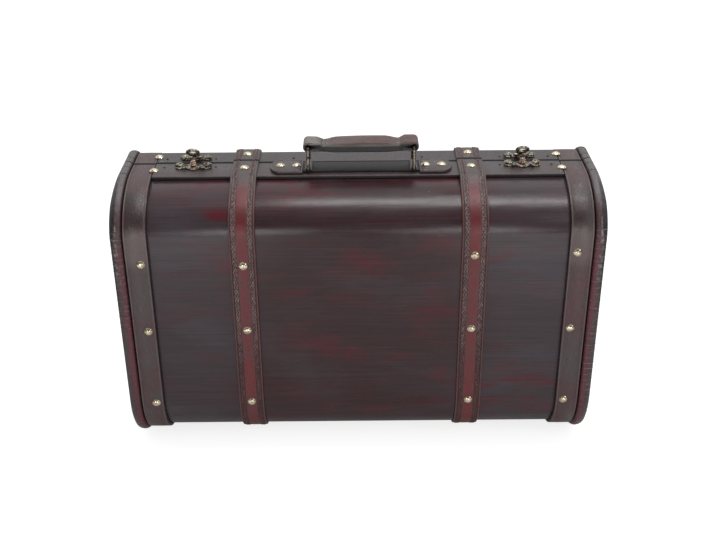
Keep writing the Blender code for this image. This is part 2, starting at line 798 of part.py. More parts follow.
def add_handle_strip(shell, rail):
    half_width = STRIP_WIDTH / 2.0
    side_mesh = prism("handle_strip", strip_side_outline(),
                      HANDLE_Y - half_width - FIT_GAP, HANDLE_Y + half_width + FIT_GAP, 1)
    strip = add_object("handle_strip", side_mesh, BAND_LOOK)
    plan = prism("handle_strip_plan", strip_plan_outline(), RAIL_TOP_Z - STRIP_THICKNESS,
                 STRIP_TOP_Z + RING_HEIGHT / 2.0, 2)
    boolean(strip, hidden_tool("handle_strip_plan", plan), "INTERSECT")
    sites = []
    up = Vector((0.0, 0.0, 1.0))
    board_end_z = CASE_HEIGHT - SHANK_END
    for side_name, side in SIDES:
        for word, distance in (("inner", STRIP_INNER_NAIL), ("outer", STRIP_OUTER_NAIL)):
            origin = Vector((HANDLE_X + side * distance, HANDLE_Y, STRIP_TOP_Z))
            sites.append((origin, up, STRIP_TOP_Z - board_end_z))
            add_nail(f"handle_nail_{side_name}_{word}", sites[-1])
    holes = hole_tool("handle_nail_holes", sites, NAIL_SHANK_RADIUS)
    for obj in (strip, shell, rail):
        boolean(obj, holes)


def ring_path():
    """Centre line of a ring in its own Y and Z, from the axis of its lower bar."""
    points = []
    half_depth = RING_DEPTH / 2.0
    corners = ((half_depth, 0.0, -1), (half_depth, RING_HEIGHT, 0),
               (-half_depth, RING_HEIGHT, 1), (-half_depth, 0.0, 2))
    steps = 3
    for y, z, turn in corners:
        centre_y = y - math.copysign(RING_BEND, y)
        centre_z = RING_BEND if z == 0.0 else RING_HEIGHT - RING_BEND
        for step in range(steps + 1):
            angle = quarter(turn + step / steps)
            points.append((centre_y + RING_BEND * math.cos(angle),
                           centre_z + RING_BEND * math.sin(angle)))
    return points


def add_ring(side_name, side):
    curve = bpy.data.curves.new(f"{side_name}_ring", "CURVE")
    curve.dimensions = "3D"
    curve.bevel_depth = RING_WIRE_RADIUS
    curve.bevel_resolution = 2
    spline = curve.splines.new("POLY")
    path = ring_path()
    spline.points.add(len(path) - 1)
    for point, (y, z) in zip(spline.points, path):
        point.co = (0.0, y, z, 1.0)
    spline.use_cyclic_u = True
    ring = bpy.data.objects.new(f"{side_name}_ring", curve)
    bpy.context.scene.collection.objects.link(ring)
    curve.materials.append(make_material(f"{side_name}_ring_bronze", *BRONZE_LOOK[1:]))
    ring.location = (HANDLE_X + side * RING_HALF_SPACING, HANDLE_Y, BAR_Z)
    return ring


def grip_outline():
    """The grip seen from the front, round its two loops and the padded middle."""
    half_body = GRIP_THICKNESS / 2.0
    half_waist = GRIP_WAIST / 2.0
    waist_x = RING_HALF_SPACING - GRIP_WAIST_X
    body_x = waist_x - GRIP_TAPER
    first = math.pi - math.asin(half_waist / GRIP_LOOP_RADIUS)
    right = [(body_x, -half_body), (waist_x, -half_waist)]
    for step in range(GRIP_LOOP_STEPS + 1):
        angle = -first + 2.0 * first * step / GRIP_LOOP_STEPS
        right.append((RING_HALF_SPACING + GRIP_LOOP_RADIUS * math.cos(angle),
                      GRIP_LOOP_RADIUS * math.sin(angle)))
    right += [(waist_x, half_waist), (body_x, half_body)]
    return right + [(-x, -z) for x, z in right]


def add_grip(left_ring):
    """The grip hangs on the left ring's upper bar, and its right loop on the other ring."""
    mesh = prism("handle_grip", grip_outline(), -GRIP_WIDTH / 2.0, GRIP_WIDTH / 2.0, 1)
    mesh.transform(Matrix.Translation((RING_HALF_SPACING, 0.0, 0.0)))
    grip = add_object("handle_grip", mesh, GRIP_LOOK)
    bevel = grip.modifiers.new("Edges", "BEVEL")
    bevel.width = GRIP_EDGE_ROUND
    bevel.segments = 2
    bevel.limit_method = "ANGLE"
    bevel.angle_limit = math.radians(60.0)
    bore = cylinder("grip_bore", GRIP_HOLE_RADIUS, GRIP_WIDTH + BORE_OVERRUN, BORE_SIDES)
    along_y = frame_at((0.0, 0.0, 0.0), (0.0, 1.0, 0.0))
    to_right = Matrix.Translation((2.0 * RING_HALF_SPACING, 0.0, 0.0))
    tool = hidden_tool("grip_bores", joined("grip_bores", [(bore, along_y), (bore, to_right @ along_y)]))
    grip.location = (0.0, 0.0, RING_HEIGHT)
    grip.parent = left_ring
    tool.location = (0.0, 0.0, RING_HEIGHT)
    tool.parent = left_ring
    boolean(grip, tool)


def build_handle(shell, rail):
    add_handle_strip(shell, rail)
    rings = [add_ring(side_name, side) for side_name, side in SIDES]
    add_grip(rings[0])


# Latches

PLATE_LOW_Z = RAIL_TOP_Z + FIT_GAP
PLATE_TOP_Z = PLATE_LOW_Z + LATCH_PLATE_THICKNESS
HASP_AXIS_Y = PARTING_Y + HASP_AXIS_OFFSET
HASP_AXIS_Z = PLATE_TOP_Z + HASP_AXIS_HEIGHT
HASP_REACH = HASP_AXIS_OFFSET + CATCH_LINE


def pin_sites(centre_x, y, lobe_x):
    up = Vector((0.0, 0.0, 1.0))
    length = PLATE_TOP_Z - (CASE_HEIGHT - SHANK_END)
    return [(Vector((centre_x + side * lobe_x, y, PLATE_TOP_Z)), up, length) for name, side in SIDES]


def lobe_meshes(name, centre_x, y, lobe_x, lobe_radius):
    """Two round lobes of a latch plate and the bar between them."""
    levels = (PLATE_LOW_Z, PLATE_TOP_Z)
    half_bar = lobe_radius * LOBE_BAR_SHARE
    bar = rectangle(centre_x - lobe_x, centre_x + lobe_x, y - half_bar, y + half_bar)
    meshes = [prism(name, bar, *levels, 2)]
    for side_name, side in SIDES:
        lobe = circle(centre_x + side * lobe_x, y, lobe_radius, LOBE_SIDES)
        meshes.append(prism(name, lobe, *levels, 2))
    return meshes


def add_catch(side_name, centre_x):
    """Scrolled plate on the base half with the knob that the hasp drops over."""
    name = f"{side_name}_latch_catch"
    y = PARTING_Y - CATCH_LINE
    levels = (PLATE_LOW_Z, PLATE_TOP_Z)
    meshes = [prism(name, circle(centre_x, y, CATCH_DISC_RADIUS, DISC_SIDES), *levels, 2)]
    meshes += lobe_meshes(name, centre_x, y, CATCH_LOBE_X, CATCH_LOBE_RADIUS)
    knob_profile = ((0.0, KNOB_HEIGHT), (KNOB_CROWN, KNOB_HEIGHT - KNOB_CROWN_DROP),
                    (KNOB_CAP_RADIUS, KNOB_HEIGHT - KNOB_RIM_DROP),
                    (KNOB_RADIUS, KNOB_HEIGHT - KNOB_NECK_DROP),
                    (KNOB_RADIUS, -LATCH_PLATE_THICKNESS / 2.0), (0.0, -LATCH_PLATE_THICKNESS / 2.0))
    knob = turned(name, knob_profile, PIN_SIDES)
    knob.transform(Matrix.Translation((centre_x, y, PLATE_TOP_Z)))
    meshes.append(knob)
    return add_object(name, fuse(name, meshes), COPPER_LOOK)


def add_latch_plate(side_name, centre_x):
    """Scrolled plate on the lid half, with the two outer knuckles of the hasp."""
    name = f"{side_name}_latch_plate"
    levels = (PLATE_LOW_Z, PLATE_TOP_Z)
    front = HASP_AXIS_Y - HASP_KNUCKLE_RADIUS
    back = PARTING_Y + LATCH_PLATE_REACH
    middle = (front + back) / 2.0
    half_body = HASP_KNUCKLE_HALF + FIT_GAP + LATCH_KNUCKLE_LENGTH
    body = [(centre_x - half_body, front), (centre_x + half_body, front)]
    for step in range(KNUCKLE_ARC_STEPS + 1):
        angle = math.pi * step / KNUCKLE_ARC_STEPS
        body.append((centre_x + half_body * math.cos(angle),
                     back - half_body * (1.0 - math.sin(angle))))
    meshes = [prism(name, body, *levels, 2)]
    meshes += lobe_meshes(name, centre_x, middle, LATCH_LOBE_X, LATCH_LOBE_RADIUS)
    along_x = Vector((1.0, 0.0, 0.0))
    knuckle_edge = HASP_KNUCKLE_RADIUS - FIT_GAP
    foot_z = (PLATE_LOW_Z + PLATE_TOP_Z) / 2.0
    knuckle = [(HASP_AXIS_Y + knuckle_edge, foot_z)]
    for step in range(KNUCKLE_ARC_STEPS + 1):
        angle = math.pi * step / KNUCKLE_ARC_STEPS
        knuckle.append((HASP_AXIS_Y + HASP_KNUCKLE_RADIUS * math.cos(angle),
                        HASP_AXIS_Z + HASP_KNUCKLE_RADIUS * math.sin(angle)))
    knuckle.append((HASP_AXIS_Y - knuckle_edge, foot_z))
    for knuckle_name, side in SIDES:
        inner = HASP_KNUCKLE_HALF + FIT_GAP
        ends = sorted((centre_x + side * inner,
                       centre_x + side * (inner + LATCH_KNUCKLE_LENGTH - FIT_GAP)))
        meshes.append(prism(name, knuckle, ends[0], ends[1], 0))
    plate = add_object(name, fuse(name, meshes), BRONZE_LOOK)
    bore = cylinder(f"{name}_bore", HASP_PIN_RADIUS + HASP_PIN_CLEARANCE,
                    2.0 * half_body + BORE_OVERRUN, BORE_SIDES)
    bore.transform(frame_at((centre_x, HASP_AXIS_Y, HASP_AXIS_Z), along_x))
    boolean(plate, hidden_tool(f"{name}_bore", bore))
    return plate, middle


def add_hasp(side_name, centre_x):
    """The loop that drops over the knob, raised as it stands unlatched."""
    name = f"{side_name}_hasp"
    half_thickness = HASP_THICKNESS / 2.0
    levels = (-half_thickness, half_thickness)
    meshes = [prism(name, circle(0.0, -HASP_REACH, HASP_RING_RADIUS, DISC_SIDES), *levels, 2)]
    stem = rectangle(-HASP_STEM_WIDTH / 2.0, HASP_STEM_WIDTH / 2.0,
                     -HASP_REACH + (HASP_HOLE_RADIUS + HASP_RING_RADIUS) / 2.0, 0.0)
    meshes.append(prism(name, stem, *levels, 2))
    knuckle = cylinder(name, HASP_KNUCKLE_RADIUS, 2.0 * HASP_KNUCKLE_HALF, KNUCKLE_SIDES)
    along_x = frame_at((0.0, 0.0, 0.0), (1.0, 0.0, 0.0))
    knuckle.transform(along_x)
    meshes.append(knuckle)
    hasp = add_object(name, fuse(name, meshes), BRONZE_LOOK)
    eye = prism(f"{name}_eye", circle(0.0, -HASP_REACH, HASP_HOLE_RADIUS, DISC_SIDES),
                -HASP_THICKNESS, HASP_THICKNESS, 2)
    bore = cylinder(f"{name}_bore", HASP_PIN_RADIUS + HASP_PIN_CLEARANCE,
                    2.0 * HASP_KNUCKLE_HALF + BORE_OVERRUN, BORE_SIDES)
    bore.transform(along_x)
    identity = Matrix.Identity(4)
    holes = hidden_tool(f"{name}_holes", joined(f"{name}_holes", [(eye, identity), (bore, identity)]))
    for item in (hasp, holes):
        item.location = (centre_x, HASP_AXIS_Y, HASP_AXIS_Z)
        item.rotation_euler = (-HASP_RAISE, 0.0, 0.0)
    boolean(hasp, holes)


def pivot_pin(name, radius, head_radius, head_length, half_length, place, look):
    """A straight pin along X with a small head at each end."""
    profile = ((0.0, half_length + head_length), (head_radius, half_length + head_length),
               (head_radius, half_length), (radius, half_length), (radius, -half_length),
               (head_radius, -half_length), (head_radius, -half_length - head_length),
               (0.0, -half_length - head_length))
    mesh = turned(name, profile, PIN_SIDES)
    mesh.transform(frame_at(place, (1.0, 0.0, 0.0)))
    return add_object(name, mesh, look)


def build_latches(base_shell, base_rail, lid_shell, lid_rail):
    catch_sites = []
    plate_sites = []
    for side_name, side in SIDES:
        centre_x = side * LATCH_X
        catch = add_catch(side_name, centre_x)
        plate, middle = add_latch_plate(side_name, centre_x)
        add_hasp(side_name, centre_x)
        half_body = HASP_KNUCKLE_HALF + FIT_GAP + LATCH_KNUCKLE_LENGTH
        pivot_pin(f"{side_name}_hasp_pin", HASP_PIN_RADIUS, HASP_PIN_HEAD_RADIUS,
                  HASP_PIN_HEAD_LENGTH, half_body + FIT_GAP,
                  (centre_x, HASP_AXIS_Y, HASP_AXIS_Z), BRONZE_LOOK)
        own_catch_sites = pin_sites(centre_x, PARTING_Y - CATCH_LINE, CATCH_LOBE_X)
        own_plate_sites = pin_sites(centre_x, middle, LATCH_LOBE_X)
        fix_fasteners(catch, own_catch_sites, LATCH_PIN)
        fix_fasteners(plate, own_plate_sites, LATCH_PIN)
        catch_sites += own_catch_sites
        plate_sites += own_plate_sites
    catch_holes = hole_tool("latch_catch_holes", catch_sites, LATCH_PIN_RADIUS)
    plate_holes = hole_tool("latch_plate_holes", plate_sites, LATCH_PIN_RADIUS)
    for obj in (base_rail, base_shell):
        boolean(obj, catch_holes)
    for obj in (lid_rail, lid_shell):
        boolean(obj, plate_holes)


# Hinges

LEAF_HIGH_Z = PANEL - FIT_GAP
LEAF_LOW_Z = LEAF_HIGH_Z - HINGE_LEAF_THICKNESS


def add_hinge_leaf(half, side_name, centre_x, own_knuckles):
    """A flat leaf under the shell, with every other knuckle on the hinge line."""
    name = f"{half.name}_{side_name}_hinge_leaf"
    direction = half.direction
    half_width = HINGE_WIDTH / 2.0
    near = HINGE_KNUCKLE_RADIUS + HINGE_PIN_CLEARANCE
    along_x = (1.0, 0.0, 0.0)

    def across(low, high):
        ends = sorted((PARTING_Y + direction * low, PARTING_Y + direction * high))
        return rectangle(ends[0], ends[1], LEAF_LOW_Z, LEAF_HIGH_Z)
    meshes = [prism(name, across(near, HINGE_LEAF_REACH), centre_x - half_width, centre_x + half_width, 0)]
    pitch = HINGE_WIDTH / HINGE_KNUCKLES
    for index in own_knuckles:
        low = centre_x - half_width + index * pitch + (FIT_GAP / 2.0 if index else 0.0)
        is_last = index == HINGE_KNUCKLES - 1
        high = centre_x - half_width + (index + 1) * pitch - (0.0 if is_last else FIT_GAP / 2.0)
        meshes.append(prism(name, across(0.0, near + HINGE_LEAF_THICKNESS), low, high, 0))
        knuckle = cylinder(name, HINGE_KNUCKLE_RADIUS, high - low, KNUCKLE_SIDES)
        knuckle.transform(frame_at(((low + high) / 2.0, PARTING_Y, HINGE_AXIS_Z), along_x))
        meshes.append(knuckle)
    leaf = add_object(name, fuse(name, meshes), BRONZE_LOOK)
    bore = cylinder(f"{name}_bore", HINGE_PIN_RADIUS + HINGE_PIN_CLEARANCE,
                    HINGE_WIDTH + BORE_OVERRUN, BORE_SIDES)
    bore.transform(frame_at((centre_x, PARTING_Y, HINGE_AXIS_Z), along_x))
    boolean(leaf, hidden_tool(f"{name}_bore", bore))
    return leaf


def hinge_screw_sites(half, centre_x):
    down = Vector((0.0, 0.0, -1.0))
    y = PARTING_Y + half.direction * HINGE_SCREW_ROW
    sites = []
    for offset in (-HINGE_SCREW_SPACING, 0.0, HINGE_SCREW_SPACING):
        sites.append((Vector((centre_x + offset, y, LEAF_LOW_Z)), down, SHANK_END - LEAF_LOW_Z))
    return sites


def build_hinges(shells):
    for side_name, side in SIDES:
        centre_x = side * HINGE_X
        pivot_pin(f"{side_name}_hinge_pin", HINGE_PIN_RADIUS, HINGE_PIN_HEAD_RADIUS,
                  HINGE_PIN_HEAD_LENGTH, HINGE_WIDTH / 2.0 + FIT_GAP,
                  (centre_x, PARTING_Y, HINGE_AXIS_Z), STEEL_LOOK)
        for half, first in ((BASE, 0), (LID, 1)):
            sites = hinge_screw_sites(half, centre_x)
            leaf = add_hinge_leaf(half, side_name, centre_x, range(first, HINGE_KNUCKLES, 2))
            fix_fasteners(leaf, sites, HINGE_SCREW)
            holes = hole_tool(f"{leaf.name}_holes", sites, HINGE_SCREW_RADIUS)
            boolean(shells[half.name], holes)


def main():
    for obj in list(bpy.data.objects):
        bpy.data.objects.remove(obj, do_unlink=True)
    shells = {}
    rails = {}
    for half in HALVES:
        shells[half.name], rails[half.name] = build_half(half)
    build_handle(shells["base"], rails["base"])
    build_latches(shells["base"], rails["base"], shells["lid"], rails["lid"])
    build_hinges(shells)


main()
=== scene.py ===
# %% [markdown]
# A suitcase-shaped storage chest, dressed over its engineering model
#
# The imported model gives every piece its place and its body. This lesson adds what the plain solids
# lack: thick bent sheet, braided straps, rolled edging, domed nails, curled latches and aged finishes.
# Lengths are in metres. +X runs along the case, +Y towards the lid half, +Z up.

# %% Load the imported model
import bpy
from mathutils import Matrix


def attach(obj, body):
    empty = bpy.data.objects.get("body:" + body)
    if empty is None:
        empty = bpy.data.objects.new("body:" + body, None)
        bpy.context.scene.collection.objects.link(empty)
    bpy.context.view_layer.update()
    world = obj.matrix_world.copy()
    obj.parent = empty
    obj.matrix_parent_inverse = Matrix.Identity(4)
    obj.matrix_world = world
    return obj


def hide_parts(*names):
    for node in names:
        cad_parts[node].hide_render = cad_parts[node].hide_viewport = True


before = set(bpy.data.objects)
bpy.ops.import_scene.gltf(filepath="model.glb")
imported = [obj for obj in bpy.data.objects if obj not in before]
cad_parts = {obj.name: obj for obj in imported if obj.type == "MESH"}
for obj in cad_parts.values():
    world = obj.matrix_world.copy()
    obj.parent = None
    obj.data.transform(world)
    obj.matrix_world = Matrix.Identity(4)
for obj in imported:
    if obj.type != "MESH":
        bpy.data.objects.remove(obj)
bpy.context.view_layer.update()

import math
import random

import bmesh
import bpy
import numpy as np
from mathutils import Matrix, Vector

# %% [markdown]
# The camera comes first, because every size was read through it. A fit of the case's outline, nails
# and parting line gave its place, its downward tilt and its focal length, so it is set from those
# numbers and never aimed by eye. The picture is 716 pixels wide.

# %% Camera
PICTURE_WIDTH = 716.0
SENSOR_WIDTH = 36.0
FOCAL_PIXELS = 1081.3
CAMERA_PLACE = Vector((-0.0016, -0.9537, 0.6745))
CAMERA_YAW = math.radians(-0.055)
CAMERA_PITCH = math.radians(27.93)
CAMERA_ROLL = math.radians(-0.475)

view_right = Vector((math.cos(CAMERA_YAW), math.sin(CAMERA_YAW), 0.0))
view_forward = Vector((-math.sin(CAMERA_YAW) * math.cos(CAMERA_PITCH),
                       math.cos(CAMERA_YAW) * math.cos(CAMERA_PITCH), -math.sin(CAMERA_PITCH)))
view_up = view_right.cross(view_forward)
rolled_right = math.cos(CAMERA_ROLL) * view_right + math.sin(CAMERA_ROLL) * view_up
rolled_up = math.cos(CAMERA_ROLL) * view_up - math.sin(CAMERA_ROLL) * view_right
camera_data = bpy.data.cameras.new("camera")
camera_data.sensor_width = SENSOR_WIDTH
camera_data.lens = FOCAL_PIXELS / PICTURE_WIDTH * SENSOR_WIDTH
camera_data.clip_end = 50.0
camera = bpy.data.objects.new("camera", camera_data)
bpy.context.scene.collection.objects.link(camera)
turn = Matrix((rolled_right, rolled_up, -view_forward)).transposed()
camera.matrix_world = Matrix.Translation(CAMERA_PLACE) @ turn.to_4x4()
bpy.context.scene.camera = camera
print("lens", round(camera_data.lens, 2))

# %% [markdown]
# The case is a tall, shallow box whose top and bottom edges are bent in wide quarter ellipses. Both
# halves have such an outline, with different corners. One function gives any layer's outline, so
# board, band, strap and edging run parallel, as bent sheets of leather do on the real case.

# %% Outline of the two halves
CASE_HEIGHT = 0.283
PARTING_Y = 0.011
HALF_GAP = 0.00025
FIT_GAP = 0.0003
PANEL_INSET = 0.006
DIRECTION_STEP = 0.002
CORNER_STEPS = 18
FLAT_STEPS = 6
CLOSEST_MARKS = 0.004
OUTLINES = {
    "base": {"side": -1.0, "depth": 0.085, "top": (0.066, 0.046), "low": (0.063, 0.064)},
    "lid": {"side": 1.0, "depth": 0.063, "top": (0.040, 0.046), "low": (0.038, 0.050)},
}
SIDES = (("left", -1.0), ("right", 1.0))


def place_on_top(half, distance):
    """The place, from 0 to 5, at a distance from the parting line along the top."""
    deep = OUTLINES[half]["top"][0]
    flat = OUTLINES[half]["depth"] - deep
    if distance <= flat:
        return (distance - HALF_GAP) / (flat - HALF_GAP)
    return 1.0 + math.asin(min(1.0, (distance - flat) / deep)) / (math.pi / 2.0)


def place_on_bottom(half, distance):
    deep = OUTLINES[half]["low"][0]
    flat = OUTLINES[half]["depth"] - deep
    return 5.0 - (distance - HALF_GAP) / (flat - HALF_GAP)


def place_on_face(half, height):
    low = OUTLINES[half]["low"][1]
    high = CASE_HEIGHT - OUTLINES[half]["top"][1]
    if height < low:
        return 3.0 + math.asin((low - height) / low) / (math.pi / 2.0)
    return 2.0 + (high - height) / (high - low)


def point_at(half, place, inset):
    """The (y, z) point there, inset from the outside of the edging."""
    shape = OUTLINES[half]
    deep, tall = shape["top"]
    low_deep, low_tall = shape["low"]
    section = min(4, int(place))
    part = place - section
    angle = part * math.pi / 2.0
    if section == 0:
        away = HALF_GAP + part * (shape["depth"] - deep - HALF_GAP)
        height = CASE_HEIGHT - inset
    elif section == 1:
        away = shape["depth"] - deep + (deep - inset) * math.sin(angle)
        height = CASE_HEIGHT - tall + (tall - inset) * math.cos(angle)
    elif section == 2:
        away = shape["depth"] - inset
        height = (1.0 - part) * (CASE_HEIGHT - tall) + part * low_tall
    elif section == 3:
        away = shape["depth"] - low_deep + (low_deep - inset) * math.cos(angle)
        height = low_tall - (low_tall - inset) * math.sin(angle)
    else:
        away = shape["depth"] - low_deep + part * (HALF_GAP - shape["depth"] + low_deep)
        height = inset
    return PARTING_Y + shape["side"] * away, height


def outline(half, first, last, inset):
    """Points of one layer from place first to place last; inset is a number or a function."""
    marks = {first, last}
    for section in range(5):
        steps = CORNER_STEPS if section in (1, 3) else FLAT_STEPS
        marks.update(section + step / steps for step in range(steps + 1))
    places = sorted(mark for mark in marks if first <= mark <= last)
    kept = [places[0]]
    for mark in places[1:]:
        if mark - kept[-1] > CLOSEST_MARKS:
            kept.append(mark)
    kept[-1] = last
    depth_of = inset if callable(inset) else (lambda place: inset)
    return [Vector((0.0, *point_at(half, place, depth_of(place)))) for place in kept]


def outward(half, place):
    """Direction away from the case at a place, square to the surface."""
    before = Vector((0.0, *point_at(half, max(0.0, place - DIRECTION_STEP), PANEL_INSET)))
    after = Vector((0.0, *point_at(half, min(5.0, place + DIRECTION_STEP), PANEL_INSET)))
    along = (after - before).normalized()
    side = OUTLINES[half]["side"]
    return Vector((0.0, -side * along.z, side * along.y))


print("base outline points", len(outline("base", 0.0, 5.0, 0.0)))

# %% [markdown]
# Small helpers keep the hand work short: select one piece, go in and out of edit mode, push and
# finish a mesh, and copy a master piece to a new place. Every finished piece keeps its place in its
# mesh.

# %% Modelling helpers


def clear_selection():
    if bpy.context.mode != "OBJECT":
        bpy.ops.object.mode_set(mode="OBJECT")
    bpy.ops.object.select_all(action="DESELECT")


def pick(*pieces):
    """Selects these pieces only and makes the first one active."""
    clear_selection()
    for piece in pieces:
        piece.select_set(True)
    bpy.context.view_layer.objects.active = pieces[0]


def edit_all():
    """Goes into edit mode with every vertex selected."""
    if bpy.context.mode == "OBJECT":
        bpy.ops.object.mode_set(mode="EDIT")
    bpy.ops.mesh.select_mode(type="VERT")
    bpy.ops.mesh.select_all(action="SELECT")


def start_ring(name, points):
    """A closed ring of vertices: a circle primitive whose vertices are moved to the points."""
    clear_selection()
    bpy.ops.mesh.primitive_circle_add(vertices=len(points), radius=0.01, fill_type="NOTHING")
    piece = bpy.context.object
    piece.name = name
    for vertex, point in zip(piece.data.vertices, points):
        vertex.co = point
    edit_all()
    return piece


def select_where(piece, kind, test):
    """In edit mode, selects only the edges or faces for which test is true."""
    bpy.ops.mesh.select_all(action="DESELECT")
    bpy.ops.mesh.select_mode(type=kind)
    shape = bmesh.from_edit_mesh(piece.data)
    for item in {"EDGE": shape.edges, "FACE": shape.faces}[kind]:
        if test(item):
            item.select = True
    shape.select_flush_mode()
    bmesh.update_edit_mesh(piece.data)


def finish_mesh(piece, merge=1e-6):
    """Welds doubles, points the faces outwards and leaves edit mode."""
    edit_all()
    bpy.ops.mesh.remove_doubles(threshold=merge)
    bpy.ops.mesh.normals_make_consistent(inside=False)
    bpy.ops.object.mode_set(mode="OBJECT")
    return piece


def push(*offset):
    """In edit mode, extrudes the selection by an offset."""
    bpy.ops.mesh.extrude_region_move(TRANSFORM_OT_translate={"value": offset})


def push_filled(name, points, *offset):
    """A closed outline, filled and pushed along an offset to a solid."""
    piece = start_ring(name, points)
    bpy.ops.mesh.edge_face_add()
    push(*offset)
    return finish_mesh(piece)


def apply_modifier(piece, kind, **settings):
    pick(piece)
    modifier = piece.modifiers.new(kind.title(), kind)
    for key, value in settings.items():
        setattr(modifier, key, value)
    bpy.ops.object.modifier_apply(modifier=modifier.name)


def soften(piece, width, segments=2, angle=35.0):
    """Rounds the sharp edges with an applied bevel and shades the rest smooth."""
    if width > 0.0:
        apply_modifier(piece, "BEVEL", width=width, segments=segments, limit_method="ANGLE",
                       angle_limit=math.radians(angle), harden_normals=False)
    pick(piece)
    bpy.ops.object.shade_smooth_by_angle(angle=math.radians(angle))
    return piece


def place_copy(master, name, matrix):
    """A copy of a master piece with its own mesh, put in place inside that mesh."""
    piece = bpy.data.objects.new(name, master.data.copy())
    bpy.context.scene.collection.objects.link(piece)
    piece.data.transform(matrix)
    return piece


def join_pieces(name, pieces):
    pick(*pieces)
    if len(pieces) > 1:
        bpy.ops.object.join()
    joined = bpy.context.object
    joined.name = name
    return joined


def remove_piece(piece):
    bpy.data.objects.remove(piece, do_unlink=True)


def settle(piece):
    """Moves an object's place, turn and scale into its mesh."""
    pick(piece)
    bpy.ops.object.transform_apply(location=True, rotation=True, scale=True)


def facing(origin, direction):
    """A matrix that puts +Z along the direction, at the origin."""
    return Matrix.Translation(origin) @ Vector(direction).to_track_quat("Z", "Y").to_matrix().to_4x4()


# %% [markdown]
# Bent sheet is made as a maker bends it: a cross-section is pulled along the outline. Each step
# extrudes the last ring and turns it square to the bend. Rigid steps keep the thickness even, which
# scaling the outline would not. Run without a window, the rotate tool turns the other way, so the
# angle is given with its sign changed.

# %% Sweep a cross-section along a path


def directions_along(path):
    angles = []
    for index in range(len(path)):
        step = path[min(len(path) - 1, index + 1)] - path[max(0, index - 1)]
        angles.append(math.atan2(step.z, step.y))
    return angles


def sweep(name, profile, path, side):
    """Pulls a closed profile of (x, lift) points along a path in the case's end plane."""
    angles = directions_along(path)
    lift_axis = Vector((0.0, -side * math.sin(angles[0]), side * math.cos(angles[0])))
    piece = start_ring(name, [path[0] + Vector((x, 0.0, 0.0)) + lift * lift_axis for x, lift in profile])
    bpy.ops.mesh.edge_face_add()
    for index in range(1, len(path)):
        push(*(path[index] - path[index - 1]))
        bend = (angles[index] - angles[index - 1] + math.pi) % math.tau - math.pi
        if abs(bend) > 1e-6:
            bpy.ops.transform.rotate(value=-bend, orient_axis="X", center_override=path[index])
    return finish_mesh(piece)


def measure_strip(piece, path, centre_x):
    """Stores how far along the strip and how far across it each vertex lies, in metres."""
    points = np.array([[point.y, point.z] for point in path])
    steps = points[1:] - points[:-1]
    lengths = np.linalg.norm(steps, axis=1)
    starts = np.concatenate([[0.0], np.cumsum(lengths)[:-1]])
    places = np.zeros(len(piece.data.vertices) * 3)
    piece.data.vertices.foreach_get("co", places)
    places = places.reshape(-1, 3)
    offsets = places[:, None, 1:] - points[None, :-1]
    shares = np.clip((offsets * steps).sum(2) / (lengths ** 2), 0.0, 1.0)
    nearest = np.linalg.norm(offsets - shares[:, :, None] * steps, axis=2).argmin(1)
    rows = np.arange(len(places))
    along = starts[nearest] + shares[rows, nearest] * lengths[nearest]
    for label, values in (("along", along), ("across", places[:, 0] - centre_x)):
        attribute = piece.data.attributes.new(label, "FLOAT", "POINT")
        attribute.data.foreach_set("value", values.astype(np.float32))


def lay_strip(name, section, path, half, centre_x=0.0, width=0.0, segments=2, angle=45.0):
    """A strip swept along a path of one half, softened and measured."""
    strip = sweep(name, section, path, OUTLINES[half]["side"])
    soften(strip, width, segments=segments, angle=angle)
    measure_strip(strip, path, centre_x)
    return strip


def mirrored(section, middle):
    """The left part of a section and its mirror image, about a middle line."""
    other = [(-x, lift) for x, lift in reversed(section) if x < 0.0]
    return [(middle + x, lift) for x, lift in section + other]


# %% [markdown]
# A finish is a list of layers. These helpers add one node each, in the tree of the socket they are
# given, and layered lays colours over one another, each with its own share.

# %% Node helpers
PLAIN_WHITE = (1.0, 1.0, 1.0, 1.0)


def srgb(red, green, blue):
    """A colour written in 0 to 255 steps, as linear values for a shader."""
    values = []
    for step in (red, green, blue):
        share = step / 255.0
        values.append(share / 12.92 if share <= 0.04045 else ((share + 0.055) / 1.055) ** 2.4)
    return (*values, 1.0)


def connect(value, socket):
    if isinstance(value, bpy.types.NodeSocket):
        socket.id_data.links.new(value, socket)
    elif value is not None:
        socket.default_value = value


def tree_of(*values):
    """The node tree of the first value that is a socket."""
    return next(value.id_data for value in values if isinstance(value, bpy.types.NodeSocket))


def add_node(tree, kind, settings=None, **sockets):
    node = tree.nodes.new(kind)
    for key, value in (settings or {}).items():
        setattr(node, key, value)
    for key, value in sockets.items():
        connect(value, node.inputs[key.replace("_", " ")])
    return node


def add_numbered(tree, kind, settings, values, places=(0, 1, 2)):
    """A node whose sockets share a name, filled by number."""
    node = add_node(tree, kind, settings)
    for value, place in zip(values, places):
        connect(value, node.inputs[place])
    return node


def calculate(operation, *values, clamp=False):
    settings = {"operation": operation, "use_clamp": clamp}
    return add_numbered(tree_of(*values), "ShaderNodeMath", settings, values).outputs[0]


def times(first, second):
    return calculate("MULTIPLY", first, second)


def most(first, second):
    return calculate("MAXIMUM", first, second)


def minus(first, second):
    return calculate("SUBTRACT", first, second)


def size_of(value):
    return calculate("ABSOLUTE", value)


def scaled(value, factor, base):
    return calculate("MULTIPLY_ADD", value, factor, base)


def rescale(value, low, high, new_low=0.0, new_high=1.0):
    node = add_node(tree_of(value), "ShaderNodeMapRange", {"interpolation_type": "SMOOTHSTEP"},
                    Value=value, From_Min=low, From_Max=high, To_Min=new_low, To_Max=new_high)
    return node.outputs[0]


def falling(value, full, stop):
    return rescale(value, full, stop, 1.0, 0.0)


def window(value, start, full, fade, stop):
    """A share that rises from start to full, and falls again from fade to stop."""
    return times(rescale(value, start, full), falling(value, fade, stop))


